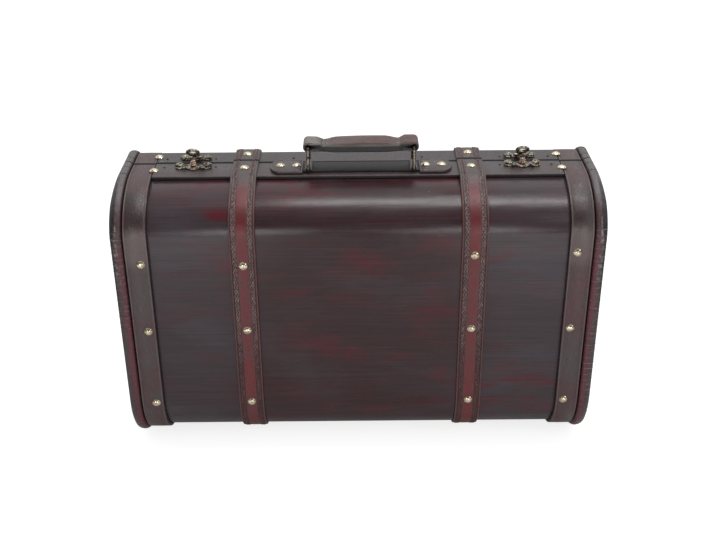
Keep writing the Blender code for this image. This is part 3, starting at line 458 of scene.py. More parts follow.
def layered(colour, *layers):
    """Lays colours over the first one. A layer is a share, a colour and maybe its strength."""
    for share, over, *strength in layers:
        for factor in strength:
            share = times(share, factor)
        colour = add_numbered(tree_of(share), "ShaderNodeMix", {"data_type": "RGBA"},
                              (share, colour, over), places=(0, 6, 7)).outputs[2]
    return colour


def noise(vector, scale, detail=3.0, roughness=0.55, distortion=0.0):
    node = add_node(tree_of(vector), "ShaderNodeTexNoise", Vector=vector, Scale=scale, Detail=detail,
                    Roughness=roughness, Distortion=distortion)
    return node.outputs[0]


def stretch(vector, factors, offset=(0.0, 0.0, 0.0)):
    return add_numbered(tree_of(vector), "ShaderNodeVectorMath", {"operation": "MULTIPLY_ADD"},
                        (vector, factors, offset)).outputs[0]


def separate(vector):
    return add_node(tree_of(vector), "ShaderNodeSeparateXYZ", Vector=vector).outputs


def measured(spot, label):
    """The distance along or across a strip that measure_strip stored."""
    return add_node(tree_of(spot), "ShaderNodeAttribute", {"attribute_name": label}).outputs["Fac"]


def new_group(name, inputs, outputs):
    group = bpy.data.node_groups.new(name, "ShaderNodeTree")
    kinds = {"value": "NodeSocketFloat", "vector": "NodeSocketVector"}
    for label, kind, default in inputs:
        socket = group.interface.new_socket(name=label, in_out="INPUT", socket_type=kinds[kind])
        socket.default_value = default
    for label in outputs:
        group.interface.new_socket(name=label, in_out="OUTPUT", socket_type=kinds["value"])
    entry = group.nodes.new("NodeGroupInput")
    return group, entry.outputs, group.nodes.new("NodeGroupOutput").inputs


def use_group(group, spot, **sockets):
    return add_node(tree_of(spot), "ShaderNodeGroup", {"node_tree": group}, Vector=spot, **sockets).outputs


def new_finish(name, roughness=0.5, metallic=0.0, specular=0.5):
    material = bpy.data.materials.new(name)
    material.use_nodes = True
    shader = material.node_tree.nodes["Principled BSDF"]
    shader.inputs["Roughness"].default_value = roughness
    shader.inputs["Metallic"].default_value = metallic
    shader.inputs["Specular IOR Level"].default_value = specular
    return material, shader, material.node_tree.nodes.new("ShaderNodeTexCoord").outputs["Object"]


def add_relief(shader, height, distance, strength, after=None):
    bump = add_node(shader.id_data, "ShaderNodeBump", Height=height, Strength=strength,
                    Distance=distance, Normal=after)
    connect(bump.outputs[0], shader.inputs["Normal"])
    return bump.outputs[0]


# %% [markdown]
# Old leather is never one colour. Dye gathers in soft patches and streaks, and the grain has small
# pebbles between finer wrinkles. These effects and worn metal are shared by many finishes, so each
# is a node group built once. It puts out masks and heights only, so each finish decides its colours.

# %% Shared effects
AT_ORIGIN = ("Vector", "vector", (0.0, 0.0, 0.0))
patches_group, entry, leave = new_group(
    "dye_patches",
    [AT_ORIGIN, ("Stretch", "vector", (1.0, 1.0, 1.0)), ("Offset", "vector", (0.0, 0.0, 0.0)),
     ("Low", "value", 0.45), ("High", "value", 0.60)],
    ["Mask"])
moved = stretch(entry["Vector"], entry["Stretch"], entry["Offset"])
soft = noise(moved, 1.0, detail=5.0, roughness=0.62, distortion=0.35)
connect(rescale(soft, entry["Low"], entry["High"]), leave["Mask"])

grain_group, entry, leave = new_group("leather_grain", [AT_ORIGIN, ("Size", "value", 700.0)], ["Height"])
cells = add_node(grain_group, "ShaderNodeTexVoronoi", {"feature": "DISTANCE_TO_EDGE"},
                 Vector=entry["Vector"], Scale=entry["Size"])
pebbles = rescale(cells.outputs["Distance"], 0.0, 0.28)
wrinkles = noise(entry["Vector"], times(entry["Size"], 0.32), detail=4.0, roughness=0.65)
connect(scaled(wrinkles, 0.9, pebbles), leave["Height"])

metal_group, entry, leave = new_group("worn_metal", [AT_ORIGIN, ("Size", "value", 260.0)],
                                      ["Tarnish", "Scuffs", "Height"])
cloudy = noise(entry["Vector"], entry["Size"], detail=5.0, roughness=0.6)
fine = noise(entry["Vector"], times(entry["Size"], 6.0), roughness=0.5)
connect(rescale(cloudy, 0.42, 0.62), leave["Tarnish"])
connect(rescale(fine, 0.35, 0.75), leave["Scuffs"])
connect(fine, leave["Height"])


def patches(spot, factors, offset, low, high):
    """Mask of drifting patches of dyed colour: their closeness, their place and their rims."""
    return use_group(patches_group, spot, Stretch=factors, Offset=offset, Low=low, High=high)["Mask"]


def grain(spot, size):
    return use_group(grain_group, spot, Size=size)["Height"]


print("effects", [group.name for group in bpy.data.node_groups])

# %% [markdown]
# The panels are thin board under a dark sheet, rubbed by hand with dye: black-brown at rest, slate
# where it is polished and burgundy where the dye ran, all in streaks along the case. The sheet shines
# softly and waves a little over the board.

# %% Finish of the panels
PANEL_BROWN = srgb(47, 26, 28)
PANEL_SLATE = srgb(58, 51, 56)
PANEL_BURGUNDY = srgb(80, 14, 25)
PANEL_DARK = srgb(22, 14, 16)
PANEL_HAIR = srgb(80, 60, 64)
SIDE_ZONE = (0.080, 0.150)
RUBBED_SPOT = (-0.128, -0.059, 0.258)
RUBBED_SIZE = (0.013, 0.010, 0.0045)


def panel_finish():
    material, shader, spot = new_finish("panel_sheet", specular=0.36)
    slate = patches(spot, (8.0, 16.0, 20.0), (3.1, 0.4, 1.7), 0.42, 0.66)
    red = patches(spot, (14.0, 34.0, 46.0), (7.3, 2.2, 5.1), 0.47, 0.66)
    broad_red = patches(spot, (6.0, 10.0, 14.0), (1.3, 8.2, 3.3), 0.38, 0.62)
    streaks = noise(stretch(spot, (14.0, 700.0, 1000.0)), 1.0, detail=4.0, roughness=0.6)
    side_zone = rescale(size_of(separate(spot)["X"]), *SIDE_ZONE)
    slate_share = calculate("MULTIPLY_ADD", side_zone, 0.6, times(slate, 0.45), clamp=True)
    to_spot = stretch(spot, [1.0 / size for size in RUBBED_SIZE],
                      [-place / size for place, size in zip(RUBBED_SPOT, RUBBED_SIZE)])
    from_spot = add_numbered(tree_of(spot), "ShaderNodeVectorMath", {"operation": "LENGTH"}, [to_spot])
    colour = layered(
        PANEL_BROWN, (slate_share, PANEL_SLATE),
        (times(red, scaled(broad_red, 0.54, 0.12)), PANEL_BURGUNDY),
        (rescale(from_spot.outputs["Value"], 0.5, 1.3, 0.8, 0.0), PANEL_BURGUNDY),
        (rescale(streaks, 0.50, 0.70), PANEL_DARK, 0.36),
        (falling(streaks, 0.32, 0.46), PANEL_HAIR, 0.20))
    connect(colour, shader.inputs["Base Color"])
    gloss = noise(stretch(spot, (20.0, 60.0, 80.0)), 1.0, detail=4.0)
    connect(rescale(gloss, 0.30, 0.75, 0.20, 0.28), shader.inputs["Roughness"])
    waves = noise(stretch(spot, (6.0, 24.0, 30.0)), 1.0, detail=2.0)
    wave_relief = add_relief(shader, waves, 0.0030, strength=0.28)
    add_relief(shader, scaled(streaks, 0.6, grain(spot, 900.0)), 0.0001, strength=0.25, after=wave_relief)
    return material


PANEL_FINISH = panel_finish()

# %% [markdown]
# Bands, rails and the handle's pads are the same grey-brown leather. It shows a smoother face than
# the panels, slow patches of grey, brown and red, and pale lines along the rims. The bands get painted
# shade in the case's bend and a paler painted reflection just below it. Distances are read along and
# across the strip, in metres.

# %% Finish of the bands and rails
BAND_COLOURS = (srgb(72, 48, 49), srgb(67, 56, 57), srgb(82, 38, 46))
# The lid's rail colours are the base's made darker, as painted shade for its other slant to the light.
RAIL_COLOURS = {"base": (srgb(64, 51, 53), srgb(69, 60, 62), srgb(70, 46, 50)),
                "lid": (srgb(54, 44, 46), srgb(58, 51, 53), srgb(60, 40, 43))}
PAD_COLOURS = (srgb(68, 57, 58), srgb(74, 66, 67), srgb(66, 48, 51))
# The keeper's colours are paler than the pads', as a painted highlight for its lit face.
KEEPER_LIT_COLOURS = (srgb(104, 102, 98), srgb(94, 94, 92), srgb(84, 76, 74))
BAND_RIM = srgb(118, 104, 102)
DYED_EDGE_AND_SHADE = srgb(9, 7, 8)
BAND_PAINTED_SHADE = (0.048, 0.062, 0.084, 0.096)
BAND_PAINTED_REFLECTION = (0.088, 0.100, 0.120, 0.136)
PRESSED_LINE = (0.0024, 0.0018, 0.0013, 0.0008)
CUT_RIM = (0.0008, 0.0003)
CUT_START = (0.0016, 0.0025)
CUT_END = (0.0012, 0.0005)
BAND_HALF = 0.011
RAIL_REACH = {"base": 0.0325, "lid": 0.029}
WHOLE_STRIP = 1.0


def dyed_ends_and_gap_shade(along, reach):
    """Mask of the dark-dyed cut edges at the start and the end of a strip, dark enough to stand for painted
    shade in the parting gap and under the rail's front edge.
    """
    return most(falling(along, *CUT_START), rescale(along, *(reach - depth for depth in CUT_END)))


def band_finish(name, colours, half_width=None, reach=None):
    """Half width adds pale rim lines, dark cut rims, painted shade in the bend and a painted reflection below
    it, and reach adds dyed ends.
    """
    brown, grey, red = colours
    material, shader, spot = new_finish(name)
    grey_mask = patches(spot, (28.0, 22.0, 24.0), (5.5, 1.1, 0.7), 0.44, 0.60)
    red_mask = patches(spot, (34.0, 30.0, 26.0), (2.5, 6.1, 9.7), 0.52, 0.70)
    mottle = noise(spot, 420.0, detail=4.0, roughness=0.7)
    colour = layered(brown, (grey_mask, grey), (red_mask, red, 0.75),
                     (rescale(mottle, 0.40, 0.72, 0.0, 0.45), PANEL_DARK))
    rough = rescale(mottle, 0.30, 0.75, 0.25, 0.42)
    if half_width is not None:
        along = measured(spot, "along")
        away = size_of(measured(spot, "across"))
        # Painted shade in the bend, a paler painted reflection below it, and dark cut rims that also paint
        # the shade in the seams.
        colour = layered(
            colour, (window(along, *BAND_PAINTED_SHADE), PANEL_DARK, 0.5), (window(along, *BAND_PAINTED_REFLECTION), BAND_RIM, 0.32),
            (window(away, *(half_width - depth for depth in PRESSED_LINE)), BAND_RIM, 0.35),
            (rescale(away, *(half_width - depth for depth in CUT_RIM)), DYED_EDGE_AND_SHADE, 0.85))
    if reach is not None:
        # Dyed ends, dark enough to be painted shade in the parting gap and under the rail's front edge.
        edge_dye_and_shade = dyed_ends_and_gap_shade(measured(spot, "along"), reach)
        colour = layered(colour, (edge_dye_and_shade, DYED_EDGE_AND_SHADE, 0.95))
        rough = most(rough, times(edge_dye_and_shade, 0.85))
    connect(colour, shader.inputs["Base Color"])
    connect(rough, shader.inputs["Roughness"])
    add_relief(shader, grain(spot, 800.0), 0.00014, strength=0.5)
    return material


BAND_FINISH = band_finish("band_leather", BAND_COLOURS, half_width=BAND_HALF, reach=WHOLE_STRIP)
RAIL_FINISHES = {half: band_finish(f"{half}_rail_leather", RAIL_COLOURS[half], reach=reach)
                 for half, reach in RAIL_REACH.items()}
PAD_FINISH = band_finish("pad_leather", PAD_COLOURS)
KEEPER_LIT_FINISH = band_finish("keeper_leather_lit", KEEPER_LIT_COLOURS)

# %% [markdown]
# The straps are the reddest leather. Their middle is smooth and burgundy, and both sides are
# stamped: a plain rim painted pale as its highlight, a dark groove and a braided line on an
# olive-brown ground, whose channel under the braid is darkened as painted shade.

# %% Finish of the straps
STRAP_HALF = 0.012
STRAP_RED = srgb(99, 31, 34)
STRAP_WINE = srgb(88, 40, 45)
STRAP_DEEP = srgb(84, 12, 18)
STRAP_GROUND = srgb(84, 52, 52)
STRAP_RIM = srgb(118, 94, 88)
STRAP_END = srgb(70, 70, 70)
STRAP_BEND = (0.060, 0.074, 0.080, 0.100)
STRAP_TOP = (0.032, 0.062)
STRAP_GROOVE = (0.0097, 0.0101, 0.0105, 0.0109)
STRAP_CHANNEL = (0.0050, 0.0060, 0.0094, 0.0099)
STRAP_PALE_RIM_WIDTH = 0.0010


def strap_finish():
    material, shader, spot = new_finish("strap_leather", specular=0.45)
    from_middle = size_of(measured(spot, "across"))
    along = measured(spot, "along")
    wine = patches(spot, (30.0, 26.0, 26.0), (0.5, 4.1, 2.7), 0.42, 0.62)
    edge = scaled(noise(spot, 260.0, detail=4.0, roughness=0.65), 0.0040, minus(from_middle, 0.0020))
    mottle = noise(spot, 380.0, detail=4.0, roughness=0.7)
    # A ragged pale rim along each edge, painted as the highlight on the rounded rim.
    ragged = times(STRAP_PALE_RIM_WIDTH, scaled(noise(spot, 160.0, detail=4.0), 2.2, -0.35))
    wear_and_light = calculate("DIVIDE", minus(ragged, minus(STRAP_HALF, from_middle)), STRAP_PALE_RIM_WIDTH, clamp=True)
    # Dyed end, dark enough to be painted shade in the parting gap.
    edge_dye_and_shade = dyed_ends_and_gap_shade(along, WHOLE_STRIP)
    colour = layered(
        STRAP_RED, (wine, STRAP_WINE), (window(along, *STRAP_BEND), STRAP_DEEP, 0.8),
        (rescale(edge, 0.0034, 0.0056), STRAP_GROUND, 0.75),
        (window(from_middle, *STRAP_GROOVE), PANEL_DARK, 0.8),
        # The channel under the braid is darkened, partly stamped dots and partly painted shade in the holes
        # between strands.
        (window(from_middle, *STRAP_CHANNEL), PANEL_DARK, 0.7),
        (rescale(along, *STRAP_TOP, 0.85, 0.0), STRAP_END),
        (rescale(mottle, 0.45, 0.75, 0.0, 0.40), PANEL_DARK),
        (wear_and_light, STRAP_RIM, 0.4), (edge_dye_and_shade, DYED_EDGE_AND_SHADE, 0.95))
    connect(colour, shader.inputs["Base Color"])
    connect(most(rescale(mottle, 0.30, 0.75, 0.30, 0.50), times(edge_dye_and_shade, 0.85)), shader.inputs["Roughness"])
    add_relief(shader, grain(spot, 800.0), 0.00012, strength=0.5)
    return material


STRAP_FINISH = strap_finish()

# %% [markdown]
# The rolled edging is burgundy on its inner half and grey-brown outside, almost black where it turns
# to the side of the case. Beside the parting line it is paler, with two folds. Pale streaks on the
# crest are painted highlight, and the seam beside the band, the end at the parting line and the two
# folds are darkened as painted shade. The braid and the fine ribs over the edging get plainer finishes.

# %% Finish of the edging
EDGING_RED = srgb(92, 30, 42)
EDGING_TOP = srgb(92, 85, 86)
EDGING_GREY = srgb(62, 44, 46)
EDGING_PALE = srgb(150, 142, 142)
EDGING_BLACK_AND_SHADE = srgb(14, 11, 12)
EDGING_SEAM_SHADE = srgb(50, 20, 26)
EDGING_MIDDLE = (0.2192, 0.2216)
EDGING_GROOVE = (0.2164, 0.2172)
EDGING_SIDE = (0.2226, 0.2236)
EDGING_CREST = (0.2196, 0.2206)
PALE_HEIGHTS = (0.190, 0.225, 0.262, 0.272)
GREY_HEIGHTS = (0.236, 0.250)
TOP_HEIGHTS = (0.272, 0.286)
SIDE_HEIGHTS = (0.286, 0.293)
EDGING_FOLDS = (0.0115, 0.0275)
FOLD_WIDTH = (0.0004, 0.0013)


def edging_finish():
    material, shader, spot = new_finish("edging_leather")
    parts = separate(spot)
    across = size_of(parts["X"])
    along = measured(spot, "along")
    ragged = noise(spot, 120.0, detail=4.0)
    mottle = noise(spot, 620.0, detail=4.0, roughness=0.75)
    height = scaled(ragged, 0.02, parts["Z"])
    outer = rescale(scaled(ragged, 0.006, minus(across, 0.003)), *EDGING_MIDDLE)
    faded = patches(spot, (36.0, 30.0, 30.0), (4.5, 2.1, 0.9), 0.48, 0.62)
    upper = rescale(scaled(parts["X"], -0.03, height), *GREY_HEIGHTS, 0.0, 0.85)
    # Pale streaks on the roll's crest, painted highlight.
    crest_highlight = times(rescale(noise(spot, 260.0), 0.48, 0.60), window(height, *PALE_HEIGHTS))
    drift = calculate("ADD", rescale(parts["Z"], 0.13, 0.22, 0.0024, 0.0008),
                      rescale(parts["Z"], 0.232, 0.250, 0.0, -0.0026))
    side = times(rescale(minus(across, drift), *EDGING_SIDE), falling(height, *SIDE_HEIGHTS))
    # The end at the parting line and the two folds, darkened as painted shade in their creases.
    fold_dips_and_shade = falling(along, 0.0008, 0.0016)
    for place in EDGING_FOLDS:
        near = minus(size_of(minus(along, place)), 0.0010)
        fold_dips_and_shade = most(fold_dips_and_shade, falling(scaled(ragged, 0.0020, near), *FOLD_WIDTH))
    colour = layered(
        EDGING_RED, (most(most(outer, times(faded, 0.4)), upper), EDGING_GREY),
        (rescale(height, *TOP_HEIGHTS), EDGING_TOP),
        (times(crest_highlight, rescale(across, *EDGING_CREST)), EDGING_PALE, 0.6),
        # The seam beside the band, darkened as painted shade.
        (falling(across, *EDGING_GROOVE), EDGING_SEAM_SHADE, 0.8),
        (most(side, fold_dips_and_shade), EDGING_BLACK_AND_SHADE, 0.92),
        (rescale(mottle, 0.46, 0.66, 0.0, 0.6), EDGING_BLACK_AND_SHADE))
    connect(colour, shader.inputs["Base Color"])
    connect(rescale(mottle, 0.30, 0.75, 0.22, 0.46), shader.inputs["Roughness"])
    fold_relief = add_relief(shader, minus(1.0, fold_dips_and_shade), 0.0008, strength=0.8)
    add_relief(shader, scaled(mottle, -2.0, grain(spot, 650.0)), 0.0002, strength=0.6, after=fold_relief)
    return material


EDGING_FINISH = edging_finish()

# %% Finishes of the braid and the small leather pieces
BRAID_PALE = (srgb(122, 102, 99), srgb(74, 52, 52))
BRAID_DEEP = (srgb(96, 62, 62), srgb(58, 34, 35))


def plain_leather(name, colour, deeper, roughness, size=600.0, specular=0.45):
    """Leather of two close tones, for small pieces."""
    material, shader, spot = new_finish(name, roughness=roughness, specular=specular)
    tone = noise(spot, 180.0, detail=4.0, roughness=0.7)
    connect(layered(colour, (rescale(tone, 0.35, 0.68), deeper)), shader.inputs["Base Color"])
    add_relief(shader, grain(spot, size), 0.00012, strength=0.5)
    return material


def braid_finish():
    """Pale high on the face, and sinking into the strap's red below."""
    material, shader, spot = new_finish("braid_leather", roughness=0.42, specular=0.45)
    tone = rescale(noise(spot, 420.0, detail=4.0, roughness=0.7), 0.38, 0.62)
    pale, deep = [layered(light, (tone, dark)) for light, dark in (BRAID_PALE, BRAID_DEEP)]
    drifting = scaled(noise(spot, 40.0), 0.06, separate(spot)["Z"])
    connect(layered(deep, (rescale(drifting, 0.12, 0.20), pale)), shader.inputs["Base Color"])
    add_relief(shader, grain(spot, 700.0), 0.00012, strength=0.5)
    return material


BRAID_FINISH = braid_finish()
# The neck's dark tone is painted shadow of the grip above it.
NECK_SHADOWED_FINISH = plain_leather("neck_leather_grip_shadow", srgb(36, 27, 28), srgb(22, 18, 19), 0.46, specular=0.28)
# The ribs' pale tone is partly a painted highlight on their crests.
RIB_FINISH = plain_leather("edging_rib_leather", srgb(112, 88, 90), srgb(72, 42, 48), 0.36)
THREAD_FINISH = plain_leather("grip_thread", srgb(168, 156, 140), srgb(110, 98, 88), 0.6, size=1500.0)

# %% [markdown]
# Metal is told by what it reflects, so its finishes keep Metallic at 1 and vary tone and gloss:
# pale brass domes with few scuffs, dark bronze rubbed bright, warm copper curls and plain steel.
# On the nail domes and the handle rings, the dark tarnish patches also stand for dark reflections,
# as painted reflection.

# %% Metal finishes


def metal_finish(name, bright, dark, tarnish_and_reflection, gloss, size=260.0):
    material, shader, spot = new_finish(name, metallic=1.0)
    wear_and_light = use_group(metal_group, spot, Size=size)
    share = times(wear_and_light["Tarnish"], tarnish_and_reflection)
    connect(layered(bright, (share, dark)), shader.inputs["Base Color"])
    connect(scaled(share, 0.15, scaled(wear_and_light["Scuffs"], 0.18, gloss)), shader.inputs["Roughness"])
    add_relief(shader, wear_and_light["Height"], 0.00005, strength=0.5)
    return material


# The dark patches on the domes are tarnish and also a painted reflection of something dark.
BRASS_FINISH = metal_finish("nail_brass", srgb(216, 205, 180), srgb(126, 110, 82), 0.65, 0.14)
BRONZE_FINISH = metal_finish("antique_bronze", srgb(166, 158, 144), srgb(36, 31, 28), 0.95, 0.24, size=480.0)
COPPER_FINISH = metal_finish("antique_copper", srgb(196, 168, 150), srgb(92, 68, 60), 0.8, 0.22, size=500.0)
# The rings' large dark patches are tarnish and also painted dark reflections.
RING_FINISH = metal_finish("handle_brass", srgb(128, 118, 106), srgb(30, 26, 27), 1.0, 0.18, size=150.0)
STEEL_FINISH = metal_finish("pin_steel", srgb(168, 166, 160), srgb(96, 94, 90), 0.6, 0.28)
TACK_FINISH = metal_finish("black_tack", srgb(60, 56, 54), srgb(24, 22, 22), 0.8, 0.42)

# %% [markdown]
# The inside isn't in the photograph. Cases of this kind have a plain glued cloth, here a brown
# weave with slightly thicker threads here and there. Warp and weft are two sine waves.

# %% Finish of the lining
LINING_LIGHT = srgb(122, 98, 78)
LINING_DEEP = srgb(92, 70, 54)
LINING_THREADS = 620.0


def lining_finish():
    material, shader, spot = new_finish("woven_lining", roughness=0.9, specular=0.2)
    parts = separate(spot)
    runs = calculate("ADD", parts["Y"], parts["Z"])
    warp, weft = [calculate("SINE", times(way, LINING_THREADS * math.tau)) for way in (parts["X"], runs)]
    slubs = noise(stretch(spot, (60.0, 900.0, 900.0)), 1.0, detail=2.0)
    fade = patches(spot, (8.0, 8.0, 8.0), (0.3, 0.6, 0.9), 0.35, 0.70)
    colour = layered(LINING_DEEP, (slubs, LINING_LIGHT), (fade, LINING_DEEP, 0.35))
    connect(colour, shader.inputs["Base Color"])
    add_relief(shader, scaled(times(warp, weft), 0.5, 0.5), 0.0003, strength=0.7)
    return material


LINING_FINISH = lining_finish()
print("finishes", len(bpy.data.materials))

# %% [markdown]
# A finished piece gets its material and its body, and the solid that it stands for is hidden.
# One function does these, so no piece is left riding on nothing.

# %% Hand a piece over to the frame
MADE = []


def hand_over(piece, finish, body, slot, *nodes):
    piece.data.materials.clear()
    piece.data.materials.append(finish)
    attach(piece, body)
    if nodes:
        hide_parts(*nodes)
    MADE.append(piece.name)
    return piece


print("ready to make pieces")

# %% [markdown]
# Each half is one board bent round top, face and bottom, and covered in sheet. It is a flat bar of
# 5 mm pulled along the outline. The two end boards close it: the outline itself, filled and
# pushed to the board's thickness.

# %% Boards of both halves
BOARD = 0.005
BOARD_REACH = 0.222
END_INSET = 0.0113
END_BOARD_INNER = 0.217


def end_outline(half, x):
    return [point + Vector((x, 0.0, 0.0)) for point in outline(half, 0.0, 5.0, END_INSET)]


for half, shape in OUTLINES.items():
    path = outline(half, 0.0, 5.0, PANEL_INSET)
    bar = [(-BOARD_REACH, 0.0), (BOARD_REACH, 0.0), (BOARD_REACH, -BOARD), (-BOARD_REACH, -BOARD)]
    board = sweep(f"{half}_covered_board", bar, path, shape["side"])
    soften(board, 0.0004)
    hand_over(board, PANEL_FINISH, half, "panel", f"{half}_shell")
    for side_name, side in SIDES:
        ring = end_outline(half, side * END_BOARD_INNER)
        flat = push_filled(f"{half}_{side_name}_end_board", ring, side * BOARD, 0.0, 0.0)
        soften(flat, 0.0003)
        hand_over(flat, PANEL_FINISH, half, "panel", f"{half}_{side_name}_end")
print("boards", MADE)

# %% [markdown]
# The lining is a cloth tray glued to the boards. Its outline is pushed from end to end, the face
# at the parting line is taken away, and a millimetre of thickness is added on the inside.

# %% Lining trays
LINING_REACH = 0.2167
LINING = 0.001

for half, shape in OUTLINES.items():
    tray = push_filled(f"{half}_cloth_lining", end_outline(half, -LINING_REACH), 2.0 * LINING_REACH, 0.0, 0.0)
    bpy.ops.object.mode_set(mode="EDIT")
    parting = PARTING_Y + shape["side"] * HALF_GAP
    select_where(tray, "FACE", lambda face: abs(face.calc_center_median().y - parting) < 1e-5
                 and abs(face.normal.y) > 0.9)
    bpy.ops.mesh.delete(type="FACE")
    bpy.ops.object.mode_set(mode="OBJECT")
    apply_modifier(tray, "SOLIDIFY", thickness=LINING, offset=-1.0, use_even_offset=True)
    soften(tray, 0.0)
    hand_over(tray, LINING_FINISH, half, "lining", f"{half}_lining")

# %% [markdown]
# Over both end corners runs an edging of leather rolled over a cord and turned down on the end.
# Its section is drawn once and pulled along the whole outline.

# %% Rolled edging
EDGING_SECTION = [
    (0.2156, -0.0057), (0.2157, -0.0032), (0.2162, -0.0020), (0.2171, -0.0011), (0.2184, -0.0005),
    (0.2200, -0.0002), (0.2218, -0.0003), (0.2234, -0.0007), (0.2248, -0.0014), (0.2259, -0.0024),
    (0.2266, -0.0038), (0.2270, -0.0056), (0.2271, -0.0080), (0.2271, -0.0118), (0.2267, -0.0134),
    (0.2258, -0.0140), (0.2223, -0.0140), (0.2223, -0.0057)]
EDGING_HINGE_SETBACK = 0.0055
EDGING_OUTSIDE = 0.2271
TAPER_FROM = 0.2228
TAPER_AMOUNT = 0.0022
TAPER_REACH = (0.019, 0.070)


def taper_outside(piece):
    """Draws the outer side in beside the parting line."""
    reached = piece.data.attributes["along"].data
    for vertex, item in zip(piece.data.vertices, reached):
        share = (item.value - TAPER_REACH[0]) / (TAPER_REACH[1] - TAPER_REACH[0])
        share = min(1.0, max(0.0, share))
        beyond = max(0.0, abs(vertex.co.x) - TAPER_FROM) / (EDGING_OUTSIDE - TAPER_FROM)
        vertex.co.x -= math.copysign(TAPER_AMOUNT * (1.0 - share) * beyond, vertex.co.x)


for half in OUTLINES:
    path = outline(half, 0.0, place_on_bottom(half, EDGING_HINGE_SETBACK), 0.0)
    for side_name, side in SIDES:
        section = [(side * x, lift) for x, lift in EDGING_SECTION]
        edging = lay_strip(f"{half}_{side_name}_edging", section, path, half, angle=50.0)
        taper_outside(edging)
        hand_over(edging, EDGING_FINISH, half, "edging", f"{half}_{side_name}_edge_trim")
print("pieces", len(MADE))

# %% [markdown]
# Down the face, fine pale ribs cross the roll where its leather is gathered; their pale tone is
# partly a painted highlight on their crests. One rib is a thin wire arched over the roll. It is
# copied along the outline a little unevenly, as hand work is, and the copies are joined to one piece
# for each edging.

# %% Ribs over the edging
RIB_RADIUS = 0.00035
RIB_MIDDLE = 0.2215
RIB_START = 0.098
RIB_SETBACK = 0.0030
RIB_STOP = {"left": 0.205, "right": 0.285}
RIB_PITCH = (0.0048, 0.0078)
RIB_SKEW = 0.14
RIB_SEED = 11
RIB_SINK = 0.00025
RIB_ARCH = [(0.2163, -0.0022), (0.2171, -0.0010), (0.2184, -0.0004), (0.2200, -0.0001),
            (0.2218, -0.0002), (0.2234, -0.0006), (0.2248, -0.0013), (0.2259, -0.0023), (0.2266, -0.0037)]


def wire(name, points, radius, sides):
    """A round wire through points: a chain of extruded vertices, made a curve, then a mesh."""
    clear_selection()
    bpy.ops.mesh.primitive_plane_add(size=0.001)
    chain = bpy.context.object
    chain.name = name
    edit_all()
    bpy.ops.mesh.merge(type="CENTER")
    bpy.ops.transform.translate(value=points[0])
    for before, after in zip(points, points[1:]):
        bpy.ops.mesh.extrude_vertices_move(TRANSFORM_OT_translate={"value": after - before})
    bpy.ops.object.mode_set(mode="OBJECT")
    bpy.ops.object.convert(target="CURVE")
    curve = bpy.context.object.data
    curve.bevel_depth = radius
    curve.bevel_resolution = max(0, sides // 2 - 2)
    curve.use_fill_caps = True
    bpy.ops.object.convert(target="MESH")
    return soften(finish_mesh(bpy.context.object, merge=1e-7), 0.0, angle=50.0)


def stations(path, side, pitch, start, stop):
    """Points on a path, a pitch apart, each with its direction, lift and distance."""
    lengths = [0.0]
    for before, after in zip(path, path[1:]):
        lengths.append(lengths[-1] + (after - before).length)
    found = []
    distance = start
    index = 0
    while distance <= lengths[-1] - stop:
        while lengths[index + 1] < distance:
            index += 1
        share = (distance - lengths[index]) / (lengths[index + 1] - lengths[index])
        point = path[index].lerp(path[index + 1], share)
        along = (path[index + 1] - path[index]).normalized()
        found.append((point, along, Vector((0.0, -side * along.z, side * along.y)), distance))
        distance += pitch() if callable(pitch) else pitch
    return found


def strip_matrix(point, along, lift):
    """Local X across the case, local Y along the strip and local Z out of it."""
    matrix = Matrix((Vector((1.0, 0.0, 0.0)), along, lift)).transposed().to_4x4()
    matrix.translation = point
    return matrix


def rib_pitch():
    return random.uniform(*RIB_PITCH)


random.seed(RIB_SEED)
for side_name, side in SIDES:
    arch = [Vector((side * x, 0.0, lift)) for x, lift in RIB_ARCH]
    rib = wire("rib", arch, RIB_RADIUS, 6)
    middle = Matrix.Translation((side * RIB_MIDDLE, 0.0, 0.0))
    for half, shape in OUTLINES.items():
        path = outline(half, 0.0, place_on_bottom(half, EDGING_HINGE_SETBACK), 0.0)
        copies = []
        places = stations(path, shape["side"], rib_pitch, RIB_START, RIB_SETBACK)
        for point, along, lift, distance in places:
            if distance < RIB_STOP[side_name]:
                angle = random.uniform(-RIB_SKEW, RIB_SKEW)
                skew = middle @ Matrix.Rotation(angle, 4, "Z") @ middle.inverted()
                sunk = Matrix.Translation(-random.uniform(0.0, RIB_SINK) * lift)
                copies.append(place_copy(rib, "rib_copy", sunk @ strip_matrix(point, along, lift) @ skew))
        ribs = join_pieces(f"{half}_{side_name}_edging_ribs", copies)
        hand_over(ribs, RIB_FINISH, half, "edging")
    remove_piece(rib)
print("ribs done, pieces", len(MADE))

# %% [markdown]
# Beside the edging lies a flat band, and further in a strap. Both are thick leather with
# rounded rims. The strap's section also has a groove behind each rim and a sunk channel that
# the braid lies in, and it climbs over the rail near the parting line.

# %% Bands
BAND_MIDDLE = 0.2042
BAND_TOP = 0.0029
BAND_SETBACK = 0.0015
BAND_SECTION = [(-0.0110, -0.0028), (-0.0110, -0.0008), (-0.0107, -0.0003), (-0.0102, 0.0), (-0.0094, 0.0),
                (-0.0091, -0.00025), (-0.0088, 0.0), (0.0, 0.0001)]

for half in OUTLINES:
    path = outline(half, 0.0, place_on_bottom(half, BAND_SETBACK), BAND_TOP)
    for side_name, side in SIDES:
        middle = side * BAND_MIDDLE
        band = lay_strip(f"{half}_{side_name}_flat_band", mirrored(BAND_SECTION, middle), path, half, middle)
        hand_over(band, BAND_FINISH, half, "band", f"{half}_{side_name}_band")

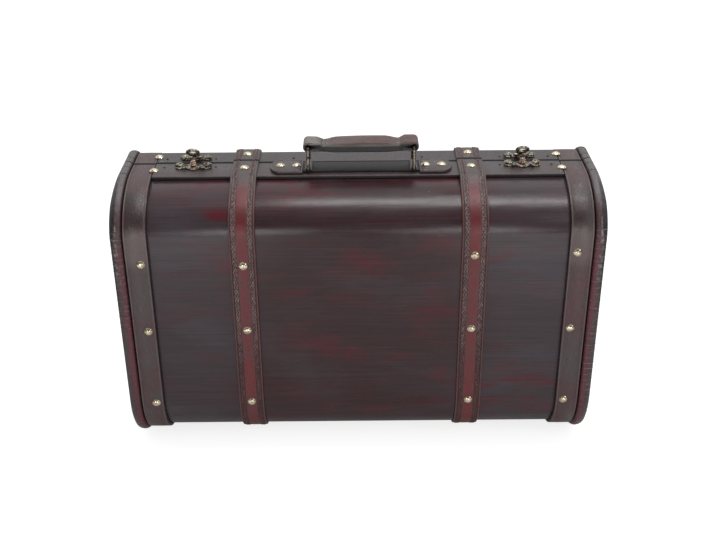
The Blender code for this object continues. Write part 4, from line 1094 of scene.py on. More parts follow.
# %% Straps with grooves and braid channels
STRAP_X = 0.1068
STRAP_THICK = 0.0022
STRAP_OVER_RAIL = 0.0020
LAYER_UNDER = 0.0057
RAIL_CLEARANCE = 0.0012
STRAP_RAMP = 0.012
STRAP_SECTION = [(-0.0120, -STRAP_THICK), (-0.0120, -0.0007), (-0.0117, -0.0002), (-0.0112, 0.0),
                 (-0.0107, 0.0), (-0.0104, -0.0003), (-0.0101, -0.0003), (-0.0098, 0.0),
                 (-0.0096, -0.0001), (-0.0094, -0.0005), (-0.0058, -0.0005), (-0.0055, -0.0001),
                 (-0.0050, 0.0), (-0.0025, 0.0001)]


def strap_inset(half, place):
    """How deep the strap's face lies: over the rail, down a short ramp, then on the panel."""
    start = place_on_top(half, RAIL_REACH[half] + RAIL_CLEARANCE)
    stop = place_on_top(half, RAIL_REACH[half] + RAIL_CLEARANCE + STRAP_RAMP)
    share = min(1.0, max(0.0, (place - start) / (stop - start)))
    eased = share * share * (3.0 - 2.0 * share)
    return STRAP_OVER_RAIL + eased * (LAYER_UNDER - STRAP_OVER_RAIL) - STRAP_THICK


STRAP_PATHS = {}
for half in OUTLINES:
    path = outline(half, 0.0, place_on_bottom(half, BAND_SETBACK), lambda place: strap_inset(half, place))
    STRAP_PATHS[half] = path
    for side_name, side in SIDES:
        middle = side * STRAP_X
        strap = lay_strip(f"{half}_{side_name}_stamped_strap", mirrored(STRAP_SECTION, middle), path, half,
                          middle)
        hand_over(strap, STRAP_FINISH, half, "strap", f"{half}_{side_name}_strap")
print("straps done, pieces", len(MADE))

# %% [markdown]
# The braid is a flat plait of three strands in each channel. Each strand swings from side to side and
# dips under the next, a third of a turn apart, so that its holes are real. The pitch is read from the
# photograph. The plait is made once for each half and copied to its four channels.

# %% Braid on the straps
BRAID_PITCH = 0.0150
BRAID_RADIUS = 0.00062
BRAID_SWING = 0.0017
BRAID_RISE = 0.00035
BRAID_SUNK = 0.00030
BRAID_STEP = BRAID_PITCH / 8.0
BRAID_STRANDS = 3
BRAID_OFFSET = 0.0076
BRAID_SETBACK = 0.0015

for half, shape in OUTLINES.items():
    strands = []
    for strand in range(BRAID_STRANDS):
        points = []
        for point, along, lift, distance in stations(STRAP_PATHS[half], shape["side"], BRAID_STEP,
                                                     BRAID_SETBACK, BRAID_SETBACK):
            phase = (distance / BRAID_PITCH + strand / BRAID_STRANDS) * math.tau
            height = BRAID_RISE * math.sin(2.0 * phase) - BRAID_SUNK
            points.append(point + Vector((BRAID_SWING * math.sin(phase), 0.0, 0.0)) + height * lift)
        strands.append(wire("strand", points, BRAID_RADIUS, 6))
    plait = join_pieces("plait", strands)
    for side_name, side in SIDES:
        rows = [place_copy(plait, "row", Matrix.Translation((side * STRAP_X + row * BRAID_OFFSET, 0.0, 0.0)))
                for row in (-1.0, 1.0)]
        braid = join_pieces(f"{half}_{side_name}_braid", rows)
        hand_over(braid, BRAID_FINISH, half, "strap")
    remove_piece(plait)
print("braid done, pieces", len(MADE))

# %% [markdown]
# A rail covers each half along the parting line. It is a low flat strip between the bands, a
# little proud of the panel, with small black tacks in it.

# %% Rails
RAIL_TOP = 0.0023
RAIL_THICK = 0.0034
RAIL_HALF = 0.1929
RAIL_MIDDLE_LINE = 0.06
RAIL_SECTION = [(-RAIL_HALF, -RAIL_THICK), (-RAIL_HALF, 0.0), (-RAIL_MIDDLE_LINE, 0.0)]

for half in OUTLINES:
    path = outline(half, 0.0, place_on_top(half, RAIL_REACH[half]), RAIL_TOP)
    rail = lay_strip(f"{half}_parting_rail", mirrored(RAIL_SECTION, 0.0), path, half,
                     width=0.0009, segments=3, angle=35.0)
    hand_over(rail, RAIL_FINISHES[half], half, "rail", f"{half}_top_rail")

# %% [markdown]
# Nails are shallow brass domes. A sphere is cut to a cap, its rim is turned down a little and
# closed, and the result is copied to every nail. Small random dents make each cap catch the light
# in its own way. Tacks are the same cap, smaller and black.

# %% Nail and tack heads
NAIL_RADIUS = 0.0045
NAIL_RISE = 0.0024
NAIL_DENTS = 0.00002
TACK_RADIUS = 0.0013
TACK_RISE = 0.0007
HEAD_RIM = 0.12
HEAD_TAPER = 0.97


def domed_head(name, radius, rise, segments, rings):
    ball = (radius * radius + rise * rise) / (2.0 * rise)
    clear_selection()
    bpy.ops.mesh.primitive_uv_sphere_add(segments=segments, ring_count=rings, radius=ball,
                                         location=(0.0, 0.0, rise - ball))
    head = bpy.context.object
    head.name = name
    settle(head)
    edit_all()
    rim = HEAD_RIM * rise
    bpy.ops.mesh.bisect(plane_co=(0.0, 0.0, rim), plane_no=(0.0, 0.0, 1.0), clear_inner=True)
    select_where(head, "EDGE", lambda edge: edge.is_boundary)
    push(0.0, 0.0, -rim)
    bpy.ops.transform.resize(value=(HEAD_TAPER, HEAD_TAPER, 1.0))
    bpy.ops.mesh.edge_face_add()
    finish_mesh(head)
    return soften(head, 0.0, angle=60.0)


nail_head = domed_head("nail_head", NAIL_RADIUS, NAIL_RISE, 24, 26)
tack_head = domed_head("tack_head", TACK_RADIUS, TACK_RISE, 10, 10)


def put_nail(name, origin, direction, seed, body, *nodes):
    nail = place_copy(nail_head, name, facing(origin, direction) @ Matrix.Rotation(seed, 4, "Z"))
    random.seed(int(seed * 1000))
    for vertex in nail.data.vertices:
        vertex.co += Vector([random.gauss(0.0, NAIL_DENTS) for axis in range(3)])
    return hand_over(nail, BRASS_FINISH, body, "nail_brass", *nodes)


FACE_NAILS = (("upper", 0.218), ("middle", 0.142), ("lower", 0.060))
STRAP_UPPER_NAIL_DROP = 0.0027
UPPER_NAIL_SHIFT = {"left": -0.0042, "right": 0.0047}
TOP_NAIL = {"base": 0.0185, "lid": 0.0155}
BOTTOM_NAIL = 0.024
BAND_NAIL_X = 0.2009
SEAM_NAIL_X = 0.1925
TACK_ROW = 0.0105
TACK_X = {"base": (0.135, 0.184), "lid": (0.062, 0.137, 0.184)}


def nail_spots(half, kind, side_name, side):
    """Place, inset and x of every nail on one band or strap."""
    x = side * (BAND_NAIL_X if kind == "band" else STRAP_X)
    top = place_on_top(half, TOP_NAIL[half])
    if kind == "band":
        spots = {"top": (top, RAIL_TOP, side * SEAM_NAIL_X)}
    else:
        spots = {"top": (top, strap_inset(half, top), x)}
    places = {"bottom": place_on_bottom(half, BOTTOM_NAIL)}
    for word, height in FACE_NAILS:
        shift = 0.0
        if half == "base" and word == "upper":
            shift = UPPER_NAIL_SHIFT[side_name] - (STRAP_UPPER_NAIL_DROP if kind == "strap" else 0.0)
        places[word] = place_on_face(half, height + shift)
    for word, place in places.items():
        spots[word] = (place, BAND_TOP if kind == "band" else strap_inset(half, place), x)
    return spots


for half in OUTLINES:
    for kind in ("band", "strap"):
        for side_name, side in SIDES:
            spots = nail_spots(half, kind, side_name, side)
            for number, (word, (place, inset, x)) in enumerate(spots.items()):
                origin = Vector((x, *point_at(half, place, inset)))
                nodes = []
                if half == "base" and word != "bottom":
                    nodes = [f"{side_name}_{kind}_nail_{word}"]
                put_nail(f"{half}_{side_name}_{kind}_dome_{word}", origin, outward(half, place),
                         1.0 + number + 7.0 * x, half, *nodes)

for half in OUTLINES:
    place = place_on_top(half, TACK_ROW)
    for side_name, side in SIDES:
        for number, x in enumerate(TACK_X[half]):
            origin = Vector((side * x, *point_at(half, place, RAIL_TOP)))
            tack = place_copy(tack_head, f"{half}_{side_name}_tack_{number}",
                              facing(origin, outward(half, place)))
            hand_over(tack, TACK_FINISH, half, "rail")
print("nails done, pieces", len(MADE))

# %% [markdown]
# The handle stands on a strip of leather with a pad at each end. The pads are thicker, round-ended
# and finished with a pressed border, made by insetting the top face twice. Between them a narrower
# neck runs flat on the rail, and a loop of the same leather holds each ring down.

# %% Handle strip with its pads
HANDLE_X = 0.003
HANDLE_Y = -0.004
RAIL_Z = CASE_HEIGHT - RAIL_TOP
PAD_LOW = RAIL_Z + FIT_GAP
PAD_THICK = 0.0025
PAD_START = 0.0548
PAD_END = 0.0860
PAD_HALF = 0.01425
PAD_ROUND = 0.010
NECK_HALF = 0.0107
NECK_THICK = 0.0016
RING_SPACING = 0.0494
HANDLE_NAILS = {"inner": 0.0608, "outer": 0.0760}
PAD_MARGIN = 0.0016
PAD_PRESS = 0.0004
NECK_OVERLAP = 0.001
RING_WIRE = 0.0015
BAR_Z = PAD_LOW + RING_WIRE
BORDER = 0.0004


def angles_over(start, turn, steps):
    return [start + turn * step / steps for step in range(steps + 1)]


def push_outline(name, points, low, high):
    """A flat outline in X and Y, filled and pushed up from low to high."""
    return push_filled(name, [Vector((x, y, low)) for x, y in points], 0.0, 0.0, high - low)


def block(name, near_x, far_x, near_y, far_y, low, high):
    corners = [(near_x, near_y), (far_x, near_y), (far_x, far_y), (near_x, far_y)]
    return push_outline(name, corners, low, high)


def press_border(piece, top, margin, depth):
    """Insets the top face twice and sinks the ring between, as a pressed border line."""
    bpy.ops.object.mode_set(mode="EDIT")
    for width, drop in ((margin, 0.0), (BORDER, -depth), (BORDER, 0.0), (BORDER, depth)):
        select_where(piece, "FACE", lambda face: face.normal.z > 0.9 and len(face.verts) > 4
                     and face.calc_center_median().z > top - 2.0 * depth)
        bpy.ops.mesh.inset(thickness=width, depth=drop)
    bpy.ops.object.mode_set(mode="OBJECT")
    return piece


strip_parts = []
for side_name, side in SIDES:
    points = [(PAD_START, -PAD_HALF)]
    for angle in angles_over(-math.pi / 2.0, math.pi, 16):
        points.append((PAD_END - PAD_ROUND * (1.0 - math.cos(angle)), PAD_HALF * math.sin(angle)))
    points.append((PAD_START, PAD_HALF))
    pad = push_outline("pad", [(HANDLE_X + side * x, HANDLE_Y + y) for x, y in points],
                       PAD_LOW, PAD_LOW + PAD_THICK)
    press_border(pad, PAD_LOW + PAD_THICK, PAD_MARGIN, PAD_PRESS)
    soften(pad, 0.0005, segments=3, angle=50.0)
    strip_parts.append(pad)
neck_reach = PAD_START + NECK_OVERLAP
neck = block("handle_strip_neck", HANDLE_X - neck_reach, HANDLE_X + neck_reach,
             HANDLE_Y - NECK_HALF, HANDLE_Y + NECK_HALF, PAD_LOW, PAD_LOW + NECK_THICK)
soften(neck, 0.0004)
hand_over(neck, NECK_SHADOWED_FINISH, "base", "rail")

# %% Leather loops that hold the rings down
KEEPER_INNER = 0.0019
KEEPER_THICK = 0.0017
KEEPER_HALF = 0.0093
for side_name, side in SIDES:
    turns = angles_over(0.0, math.pi, 12)
    section = [(KEEPER_INNER, angle) for angle in turns]
    section += [(KEEPER_INNER + KEEPER_THICK, angle) for angle in reversed(turns)]
    corner = Vector((HANDLE_X + side * RING_SPACING, HANDLE_Y - KEEPER_HALF, BAR_Z))
    ring = [corner + radius * Vector((math.cos(angle), 0.0, math.sin(angle))) for radius, angle in section]
    keeper = push_filled(f"{side_name}_ring_keeper", ring, 0.0, 2.0 * KEEPER_HALF, 0.0)
    soften(keeper, 0.0003, angle=50.0)
    hand_over(keeper, KEEPER_LIT_FINISH, "base", "rail")
handle_strip = join_pieces("handle_leather_strip", strip_parts)
hand_over(handle_strip, PAD_FINISH, "base", "rail", "handle_strip")
for side_name, side in SIDES:
    for word, distance in HANDLE_NAILS.items():
        origin = Vector((HANDLE_X + side * distance, HANDLE_Y, PAD_LOW + PAD_THICK))
        put_nail(f"handle_dome_{side_name}_{word}", origin, (0.0, 0.0, 1.0),
                 20.0 + 100.0 * distance + side, "base", f"handle_nail_{side_name}_{word}")
print("handle strip done, pieces", len(MADE))

# %% [markdown]
# Each ring is a bent brass wire: a rectangle with its corners rounded in edit mode, its face taken
# away, made a curve and given the wire's thickness.

# %% Handle rings
RING_HEIGHT = 0.0223
RING_DEPTH = 0.0256
RING_BEND = 0.0026

for side_name, side in SIDES:
    clear_selection()
    bpy.ops.mesh.primitive_plane_add(size=1.0)
    ring = bpy.context.object
    ring.name = f"{side_name}_brass_ring"
    ring.scale = (RING_HEIGHT, RING_DEPTH, 1.0)
    ring.rotation_euler = (0.0, math.pi / 2.0, 0.0)
    ring.location = (HANDLE_X + side * RING_SPACING, HANDLE_Y, BAR_Z + RING_HEIGHT / 2.0)
    settle(ring)
    edit_all()
    bpy.ops.mesh.bevel(offset=RING_BEND, offset_type="OFFSET", segments=5, affect="VERTICES")
    edit_all()
    bpy.ops.mesh.delete(type="ONLY_FACE")
    bpy.ops.object.mode_set(mode="OBJECT")
    bpy.ops.object.convert(target="CURVE")
    ring.data.bevel_depth = RING_WIRE
    ring.data.bevel_resolution = 3
    bpy.ops.object.convert(target="MESH")
    ring = soften(finish_mesh(bpy.context.object, merge=1e-7), 0.0, angle=60.0)
    hand_over(ring, RING_FINISH, f"{side_name}_ring", "bronze", f"{side_name}_ring")

# %% [markdown]
# The grip is stiff folded leather whose ends go round the rings and are sewn down. Its front view
# is drawn as one outline with a teardrop eye at each end, pushed across the grip's width, rounded
# along all its rims, pinched where the stitches pull and bowed along the middle.

# %% Grip
GRIP_Z = BAR_Z + RING_HEIGHT
LOOP_RADIUS = 0.0045
EYE_RADIUS = 0.0019
GRIP_ABOVE = 0.0034
GRIP_BELOW = 0.0048
GRIP_HALF_WIDTH = 0.0101
EYE_TAIL = 0.0085
GRIP_BOW = 0.0014
GRIP_BOW_X = 0.008
GRIP_BOW_REACH = 0.040
GRIP_END_FROM = 0.036
GRIP_END_BLEND = 0.005
END_LIFT = 0.0010
LEFT_END_LIFT = 0.0006
CROWN = 0.0006
LOW_CROWN = 0.0004
CROWN_REACH = 0.040
PINCH_INWARD = 0.0155
PINCH_REACH = 0.0045
PINCH_SHARE = 0.08
PINCH_DEPTH = 0.0004
BOW_BLEND = 0.002


def grip_front():
    """Outer outline of the grip seen from the front, right half first."""
    top = [(0.0085, 0.0041), (0.0115, 0.0031), (0.0145, 0.0023), (0.0190, 0.0026), (0.0260, GRIP_ABOVE),
           (0.0400, GRIP_ABOVE)]
    low = [(0.0400, -GRIP_BELOW), (0.0260, -GRIP_BELOW), (0.0190, -0.0044), (0.0120, -0.0040),
           (0.0070, -0.0042)]
    right = [(RING_SPACING - inward, z) for inward, z in low]
    right += [(RING_SPACING + LOOP_RADIUS * math.cos(angle), LOOP_RADIUS * math.sin(angle))
              for angle in angles_over(-math.pi / 2.0, math.pi, 16)]
    right += [(RING_SPACING - inward, z) for inward, z in top]
    return right + [(-x, z) for x, z in reversed(right)]


def eye_outline(side):
    angles = angles_over(-math.radians(140.0), math.radians(280.0), 12)
    points = [(EYE_RADIUS * math.cos(angle), EYE_RADIUS * math.sin(angle)) for angle in angles]
    return [(side * (RING_SPACING + x), z) for x, z in points + [(-EYE_TAIL, 0.0)]]


rings = []
for points in [grip_front()] + [eye_outline(side) for side_name, side in SIDES]:
    rings.append(start_ring("grip_ring", [Vector((HANDLE_X + x, HANDLE_Y - GRIP_HALF_WIDTH, GRIP_Z + z))
                                          for x, z in points]))
    bpy.ops.object.mode_set(mode="OBJECT")
grip = join_pieces("sewn_leather_grip", rings)
edit_all()
bpy.ops.mesh.fill(use_beauty=True)
push(0.0, 2.0 * GRIP_HALF_WIDTH, 0.0)
finish_mesh(grip)
soften(grip, 0.0011, segments=4, angle=60.0)
for normal, centre, reach, count in (((0.0, 1.0, 0.0), HANDLE_Y, 0.8 * GRIP_HALF_WIDTH, 5),
                                     ((1.0, 0.0, 0.0), HANDLE_X, 0.036, 17)):
    for level in np.linspace(-reach, reach, count):
        edit_all()
        bpy.ops.mesh.bisect(plane_co=(centre + level) * Vector(normal), plane_no=normal)
finish_mesh(grip)
for vertex in grip.data.vertices:
    sideways = vertex.co.x - HANDLE_X
    away = abs(sideways)
    pinch = math.exp(-((away - (RING_SPACING - PINCH_INWARD)) / PINCH_REACH) ** 2)
    across = (vertex.co.y - HANDLE_Y) / GRIP_HALF_WIDTH
    vertex.co.y = HANDLE_Y + across * GRIP_HALF_WIDTH * (1.0 - PINCH_SHARE * pinch)
    crown = (1.0 - across * across) * max(0.0, 1.0 - (away / CROWN_REACH) ** 4)
    bow = max(0.0, 1.0 - ((sideways - GRIP_BOW_X) / GRIP_BOW_REACH) ** 2)
    at_end = min(1.0, max(0.0, (away - GRIP_END_FROM) / GRIP_END_BLEND))
    end_lift = END_LIFT if sideways > 0.0 else LEFT_END_LIFT * (1.0 - across)
    if vertex.co.z > GRIP_Z:
        vertex.co.z += CROWN * crown - PINCH_DEPTH * pinch
        above = min(1.0, (vertex.co.z - GRIP_Z) / BOW_BLEND)
        vertex.co.z += above * (GRIP_BOW * bow + at_end * end_lift)
    else:
        vertex.co.z -= LOW_CROWN * crown
soften(grip, 0.0, angle=50.0)
print("grip vertices", len(grip.data.vertices))

# %% [markdown]
# The grip's leather is paler on top and almost black on its sides. The
# tone follows the height of the surface on the piece, so it stays put when the handle swings.

# %% Finish of the grip, and its stitches
GRIP_PALE = srgb(122, 116, 110)
GRIP_TOP = srgb(90, 76, 74)
GRIP_WARM = srgb(84, 60, 58)
GRIP_RIM = srgb(92, 87, 84)
GRIP_SIDE = srgb(40, 38, 38)
PALE_END = (-0.0440, -0.0340)
TOP_LEVELS = (0.0030, 0.0040)
RIM_LEVELS = (0.0010, 0.0022)
LOWER_RIM_LEVELS = (-0.0038, -0.0034, -0.0024, -0.0018)
BODY_REACH = (-0.0150, -0.0110)
LOOP_REACH = (-0.0120, -0.0090, 0.0010, 0.0022)
STITCH_PLACES = (0.0135, 0.0170, 0.0205)
STITCH_ROW = 0.0045
STITCH_LEAN = 0.0007
STITCH_RADIUS = 0.00035
STITCH_HEIGHT = 0.0029
STITCH_SHAPE = ((-1.0, -0.0016, -0.0008), (-0.6, -0.0011, 0.0), (0.0, 0.0, 0.0003), (0.6, 0.0011, 0.0),
                (1.0, 0.0016, -0.0008))


def grip_finish():
    material, shader, spot = new_finish("grip_worn_leather", specular=0.4)
    parts = separate(spot)
    mottle = noise(spot, 260.0, detail=5.0, roughness=0.7)
    warm = patches(spot, (30.0, 160.0, 60.0), (1.5, 0.1, 4.7), 0.42, 0.60)
    fibres = noise(stretch(spot, (60.0, 900.0, 500.0)), 1.0)
    sideways = minus(parts["X"], HANDLE_X)
    pale_end = rescale(sideways, *PALE_END, 0.9, 0.0)
    top_colour = layered(GRIP_TOP, (warm, GRIP_WARM), (pale_end, GRIP_PALE))
    level = minus(scaled(mottle, 0.0012, parts["Z"]), GRIP_Z)
    from_ring = minus(size_of(sideways), RING_SPACING)
    rim_share = times(rescale(level, *RIM_LEVELS), falling(from_ring, *BODY_REACH))
    lower = times(window(level, *LOWER_RIM_LEVELS), window(from_ring, *LOOP_REACH))
    colour = layered(GRIP_SIDE, (rim_share, GRIP_RIM), (lower, GRIP_RIM),
                     (rescale(level, *TOP_LEVELS), top_colour),
                     (rescale(fibres, 0.5, 0.75, 0.0, 0.5), PANEL_DARK))
    connect(colour, shader.inputs["Base Color"])
    connect(rescale(mottle, 0.30, 0.75, 0.40, 0.62), shader.inputs["Roughness"])
    add_relief(shader, scaled(fibres, 1.5, grain(spot, 700.0)), 0.00018, strength=0.6)
    return material


GRIP_FINISH = grip_finish()
hand_over(grip, GRIP_FINISH, "grip", "grip_leather", "handle_grip")
stitches = []
for side_name, side in SIDES:
    for offset in STITCH_PLACES:
        for row in (-1.0, 1.0):
            middle = Vector((HANDLE_X + side * (RING_SPACING - offset), HANDLE_Y + row * STITCH_ROW,
                             GRIP_Z + STITCH_HEIGHT))
            points = [middle + Vector((share * STITCH_LEAN * side, y, z)) for share, y, z in STITCH_SHAPE]
            stitches.append(wire("stitch", points, STITCH_RADIUS, 6))
grip_stitches = join_pieces("grip_stitches", stitches)
hand_over(grip_stitches, THREAD_FINISH, "grip", "grip_leather")
print("grip done, pieces", len(MADE))

# %% [markdown]
# The latches are cast bronze with curled ends. A thin plate is pressed from a round outline
# with two lobes, and a spiral wire on each lobe makes the curl. The base plate carries a copper
# bud, which is a wire wound up into a cone. The raised loop drops over it when the case is shut.

# %% Latch plates and curls
LATCH_X = 0.156
PLATE_LOW = RAIL_Z + FIT_GAP
PLATE_TOP = PLATE_LOW + 0.0014
CATCH_Y = PARTING_Y - 0.0120
HASP_Y = PARTING_Y + 0.0045
HASP_Z = PLATE_TOP + 0.0021
LID_PLATE_Y = 0.0209
CURL_CENTRE = 0.0008
CURL_TURNS = 1.35
CURL_RISE = 0.0006
BUD_COIL = {"start_radius": 0.0024, "end_radius": 0.0013, "turns": 3.0, "start_angle": 0.4,
            "rise": 0.0050, "steps": 54}
BUD_LIFT = 0.0005
BUD_TIP_LIFT = 0.0044
KNUCKLE = (0.0031, 0.0052)
KNUCKLE_RADIUS = 0.0017


def spiral(start_radius, end_radius, turns, start_angle, rise, hand=1.0, steps=30):
    """Points of a flat or rising spiral about the origin, from the outside in."""
    points = []
    for step in range(steps + 1):
        share = step / steps
        radius = start_radius + (end_radius - start_radius) * share
        angle = start_angle + hand * turns * math.tau * share
        points.append(Vector((radius * math.cos(angle), radius * math.sin(angle), rise * share)))
    return points


def lobed_plate(name, centre_y, lobe_x, lobe_radius, body_radius, body_long):
    """An oval plate with a round lobe on either side, in one outline about x = 0."""
    points = []
    for step in range(72):
        angle = math.tau * step / 72.0
        body = Vector((body_radius * math.cos(angle), body_long * math.sin(angle)))
        reach = body.length
        for side_name, side in SIDES:
            centre = side * lobe_x
            direction = Vector((math.cos(angle), math.sin(angle)))
            along = centre * direction.x
            square = along * along - centre * centre + lobe_radius * lobe_radius
            if square > 0.0 and along > 0.0:
                reach = max(reach, along + math.sqrt(square))
        points.append((reach * math.cos(angle), centre_y + reach * math.sin(angle)))
    plate = push_outline(name, points, PLATE_LOW, PLATE_TOP)
    press_border(plate, PLATE_TOP, 0.0007, 0.0003)
    return soften(plate, 0.0002, angle=50.0)


def curl(centre, radius, hand, start_angle, wire_radius):
    points = spiral(radius, CURL_CENTRE, CURL_TURNS, start_angle, CURL_RISE, hand)
    return wire("curl", [centre + point for point in points], wire_radius, 8)


# Each curl of the catch: x, y and z of its centre, radius, hand, turn and the wire's radius
CATCH_CURLS = ((0.0127, 0.0008, 0.0009, 0.0039, 1.0, -1.9, 0.0012),
               (0.0088, -0.0042, 0.0005, 0.0021, -1.0, 1.2, 0.0008))
catch_parts = [lobed_plate("catch_plate", CATCH_Y, 0.0125, 0.0048, 0.0072, 0.0070)]
for side_name, side in SIDES:
    for x, y, z, radius, hand, turned, wire_radius in CATCH_CURLS:
        centre = Vector((side * x, CATCH_Y + y, PLATE_TOP + z))
        catch_parts.append(curl(centre, radius, hand * side, math.pi / 2.0 + side * turned, wire_radius))
catch_master = join_pieces("catch_master", catch_parts)

bud_points = [Vector((0.0, CATCH_Y, PLATE_TOP + BUD_LIFT)) + point for point in spiral(**BUD_COIL)]
bud_master = join_pieces("bud_master", [
    wire("bud_coil", bud_points, 0.0011, 8),
    place_copy(nail_head, "bud_tip", Matrix.Translation((0.0, CATCH_Y, PLATE_TOP + BUD_TIP_LIFT))
               @ Matrix.Diagonal((0.50, 0.50, 0.80, 1.0)))])

lid_plate_parts = [lobed_plate("lid_plate", LID_PLATE_Y, 0.0105, 0.0046, 0.0056, 0.0066)]
for side_name, side in SIDES:
    centre = Vector((side * 0.0108, LID_PLATE_Y + 0.0004, PLATE_TOP + 0.0004))
    lid_plate_parts.append(curl(centre, 0.0036, -side, -math.pi / 2.0 + side * 1.6, 0.0012))
    inner, outer = [side * x for x in KNUCKLE]
    barrel = wire("knuckle", [Vector((x, HASP_Y, HASP_Z)) for x in (inner, outer)], KNUCKLE_RADIUS, 12)
    foot = block("foot", inner, outer, HASP_Y - 0.0014, HASP_Y + 0.0014, PLATE_LOW, HASP_Z)
    bridge = block("bridge", side * 0.0016, side * 0.0056, HASP_Y - 0.0012, HASP_Y + 0.0040,
                   PLATE_LOW, PLATE_TOP)
    lid_plate_parts += [barrel, foot, bridge]
lid_plate_master = join_pieces("lid_plate_master", lid_plate_parts)
soften(lid_plate_master, 0.0, angle=50.0)
print("latch masters", len(catch_master.data.vertices), len(lid_plate_master.data.vertices))

# %% [markdown]
# The hasp is a loop on a short stem. A torus makes the loop, with a small boss raised on its front,
# the stem widens into the barrel round its pin, and two small leaves curl back from the loop's front,
# which gives the latch its flowery look when it stands raised.

# %% Hasp
HASP_RAISE = math.radians(40.0)
HASP_REACH = 0.0165
LOOP_MAJOR = 0.0052
BARREL_HALF = 0.0028
LEAF = ((0.0012, -0.0042, 0.0002), (0.0034, -0.0048, 0.0006), (0.0048, -0.0066, 0.0007),
        (0.0044, -0.0086, 0.0006), (0.0030, -0.0088, 0.0004), (0.0026, -0.0074, 0.0004))
clear_selection()
bpy.ops.mesh.primitive_torus_add(major_radius=LOOP_MAJOR, minor_radius=0.0014, major_segments=28,
                                 minor_segments=12, location=(0.0, -HASP_REACH, 0.0))
loop = bpy.context.object
settle(loop)
bpy.ops.object.mode_set(mode="EDIT")
select_where(loop, "FACE", lambda face: face.calc_center_median().y < -HASP_REACH - 0.0030
             and face.normal.z > 0.5)
push(0.0, 0.0, 0.0004)
bpy.ops.transform.resize(value=(0.8, 0.9, 1.0))
finish_mesh(loop)
stem_side = [(0.0012, -HASP_REACH + LOOP_MAJOR), (0.0016, -HASP_REACH + 0.0085), (0.0021, -0.0015),
             (0.0021, 0.0)]
stem_outline = [(-0.0012, -HASP_REACH + LOOP_MAJOR)] + stem_side + [(-x, y) for x, y in stem_side[:0:-1]]
stem = push_outline("stem", stem_outline, -0.0007, 0.0007)
soften(stem, 0.0003, angle=50.0)
barrel_ends = [Vector((-BARREL_HALF, 0.0, 0.0)), Vector((BARREL_HALF, 0.0, 0.0))]
hasp_parts = [loop, stem, wire("barrel", barrel_ends, KNUCKLE_RADIUS, 12)]
for side_name, side in SIDES:
    hasp_parts.append(wire("leaf", [Vector((side * x, y, z)) for x, y, z in LEAF], 0.0007, 8))
hasp_master = join_pieces("hasp_master", hasp_parts)
soften(hasp_master, 0.0, angle=50.0)

# %% Put both latches in place
for side_name, side in SIDES:
    shift = Matrix.Translation((side * LATCH_X, 0.0, 0.0))
    catch = place_copy(catch_master, f"{side_name}_catch_plate", shift)
    hand_over(catch, BRONZE_FINISH, "base", "bronze", f"{side_name}_latch_catch")
    bud = place_copy(bud_master, f"{side_name}_copper_bud", shift)
    hand_over(bud, COPPER_FINISH, "base", "copper")
    plate = place_copy(lid_plate_master, f"{side_name}_lid_latch_plate", shift)
    hand_over(plate, BRONZE_FINISH, "lid", "bronze", f"{side_name}_latch_plate")
    raised = (Matrix.Translation((side * LATCH_X, HASP_Y, HASP_Z))
              @ Matrix.Rotation(-HASP_RAISE, 4, "X"))
    hasp = place_copy(hasp_master, f"{side_name}_bronze_hasp", raised)
    hand_over(hasp, BRONZE_FINISH, f"{side_name}_hasp", "bronze", f"{side_name}_hasp")
for master in (nail_head, tack_head, catch_master, bud_master, lid_plate_master, hasp_master):
    remove_piece(master)
print("latches done, pieces", len(MADE))

# %% [markdown]
# Hinges and pins keep their solids, because leaf, knuckles and screws are already there. They only
# need the metal's finish on their material slots.

# %% Carried-over solids
for name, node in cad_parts.items():
    if node.hide_render:
        continue
    finish = STEEL_FINISH if "hinge_pin" in name else BRONZE_FINISH
    for slot_place in node.material_slots:
        slot_place.material = finish
    print("kept", name)

# %% [markdown]
# The floor and the background are white, as in the photograph. The lamps are a strip above, two
# narrow softboxes in front and weaker ones at the sides. What the case mirrors comes from a ramp of
# greys by direction, from the floor in front over the horizon to the rear. Light Path keeps it apart
# from the white that the camera sees. In the case's reflections the floor glows, less near the case
# as a painted shadow and more towards the far sides as a painted reflection. The floor ends at the
# parting line, so that the opened lid can hang beyond its edge.

# %% Floor
FLOOR_WIDTH = 2.2
FLOOR_FRONT = -1.1
FLOOR_REAR = 0.010
FLOOR_DROP = 0.0004
FLOOR_COLOUR = (0.58, 0.58, 0.58, 1.0)
FLOOR_SEEN_GLOW = 0.76
FLOOR_SIDE_GLOW = 1.3
FLOOR_SHADE_REACH = (0.10, 0.36)
FLOOR_MIRRORED_GLOW = (0.06, 0.32)
FLOOR_SIDE_REACH = (0.12, 0.30)
FLOOR_FAR_REACH = (0.40, 0.60)
clear_selection()
bpy.ops.mesh.primitive_plane_add(size=1.0, location=(0.0, (FLOOR_FRONT + FLOOR_REAR) / 2.0, -FLOOR_DROP))
floor = bpy.context.object
floor.name = "studio_floor"
floor.scale = (FLOOR_WIDTH, FLOOR_REAR - FLOOR_FRONT, 1.0)
settle(floor)
floor_material, shader, spot = new_finish("studio_floor", roughness=0.9, specular=0.1)
shader.inputs["Base Color"].default_value = FLOOR_COLOUR
shader.inputs["Emission Color"].default_value = PLAIN_WHITE
ray = floor_material.node_tree.nodes.new("ShaderNodeLightPath").outputs
sideways = size_of(separate(spot)["X"])
from_case = size_of(separate(spot)["Y"])
# The floor's glow in reflections: a painted shadow near the case and a painted reflection at the far sides.
far_sides = times(rescale(sideways, *FLOOR_SIDE_REACH), rescale(from_case, *FLOOR_FAR_REACH))
mirrored_glow = scaled(far_sides, FLOOR_SIDE_GLOW,
                       rescale(from_case, *FLOOR_SHADE_REACH, *FLOOR_MIRRORED_GLOW))
glow = scaled(ray["Is Camera Ray"], FLOOR_SEEN_GLOW, times(ray["Is Glossy Ray"], mirrored_glow))
connect(glow, shader.inputs["Emission Strength"])
floor.data.materials.append(floor_material)

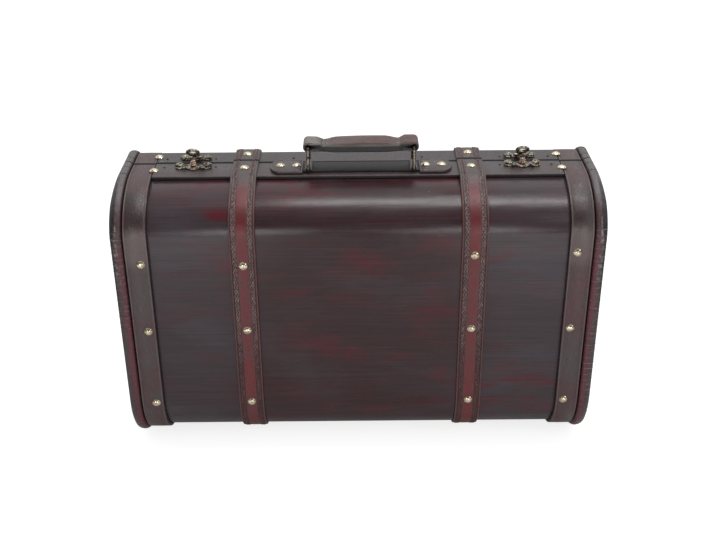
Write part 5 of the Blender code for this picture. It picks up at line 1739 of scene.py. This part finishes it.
# %% Room and lamps
ROOM_STRENGTH = 0.55
SEEN_STRENGTH = 1.2
STUDIO_STRENGTH = 2.0
STUDIO_STEPS = ((0.02, 0.10), (0.10, 0.08), (0.16, 0.05), (0.28, 0.08), (0.34, 0.26), (0.40, 0.46),
                (0.46, 0.50), (0.485, 0.42), (0.53, 0.40), (0.57, 0.38), (0.63, 0.50), (0.67, 0.72),
                (0.76, 0.78), (0.80, 0.58), (0.86, 0.38), (0.999, 0.36))
SHADE_SIDES = (0.10, 0.22)
SHADE_HEIGHTS = (0.20, 0.28, 0.44, 0.48)
SHADE_SHARE = 0.5
world = bpy.data.worlds.new("studio_world")
bpy.context.scene.world = world
world.use_nodes = True
room_tree = world.node_tree
room_tree.nodes.clear()
output = room_tree.nodes.new("ShaderNodeOutputWorld")
direction = separate(room_tree.nodes.new("ShaderNodeTexCoord").outputs["Generated"])
turned = calculate("ARCTAN2", direction["Z"], times(direction["Y"], -1.0))
from_front = calculate("DIVIDE", turned, math.pi)
ramp = add_node(room_tree, "ShaderNodeValToRGB", Fac=from_front)
stops = ramp.color_ramp.elements
for place, grey in STUDIO_STEPS:
    stops.new(place).color = (grey, grey, grey, 1.0)
stops.remove(stops[0])
shade = times(rescale(size_of(direction["X"]), *SHADE_SIDES), window(from_front, *SHADE_HEIGHTS))
mirrored_strength = scaled(shade, -SHADE_SHARE * STUDIO_STRENGTH, STUDIO_STRENGTH)
room, mirrored, white = [
    add_node(room_tree, "ShaderNodeBackground", Color=colour, Strength=strength).outputs[0]
    for colour, strength in ((PLAIN_WHITE, ROOM_STRENGTH), (ramp.outputs[0], mirrored_strength),
                             (PLAIN_WHITE, SEEN_STRENGTH))]
ray = room_tree.nodes.new("ShaderNodeLightPath").outputs
seen = most(ray["Is Camera Ray"], ray["Is Transmission Ray"])
for share, other in ((ray["Is Glossy Ray"], mirrored), (seen, white)):
    room = add_numbered(room_tree, "ShaderNodeMixShader", {}, (share, room, other)).outputs[0]
connect(room, output.inputs[0])


def add_lamp(name, place, target, width, height, power):
    data = bpy.data.lights.new(name, "AREA")
    data.shape = "RECTANGLE"
    data.size = width
    data.size_y = height
    data.energy = power
    lamp = bpy.data.objects.new(name, data)
    bpy.context.scene.collection.objects.link(lamp)
    aim = (Vector(target) - Vector(place)).to_track_quat("-Z", "Y")
    lamp.matrix_world = Matrix.Translation(place) @ aim.to_matrix().to_4x4()


CASE_MIDDLE = (0.0, 0.0, 0.15)
add_lamp("strip_above", (0.45, -0.03, 1.9), (0.45, -0.03, 0.2), 1.6, 0.22, 17.0)
add_lamp("softbox_front_left", (-0.64, -1.9, 0.38), CASE_MIDDLE, 0.36, 0.56, 6.0)
add_lamp("softbox_front_right", (0.64, -1.9, 0.38), CASE_MIDDLE, 0.36, 0.56, 6.0)
add_lamp("softbox_left", (-1.5, -1.2, 1.3), CASE_MIDDLE, 0.8, 0.8, 1.2)
add_lamp("softbox_right", (1.6, -1.1, 1.2), CASE_MIDDLE, 0.8, 0.8, 5.0)
bpy.context.scene.view_settings.view_transform = "Standard"
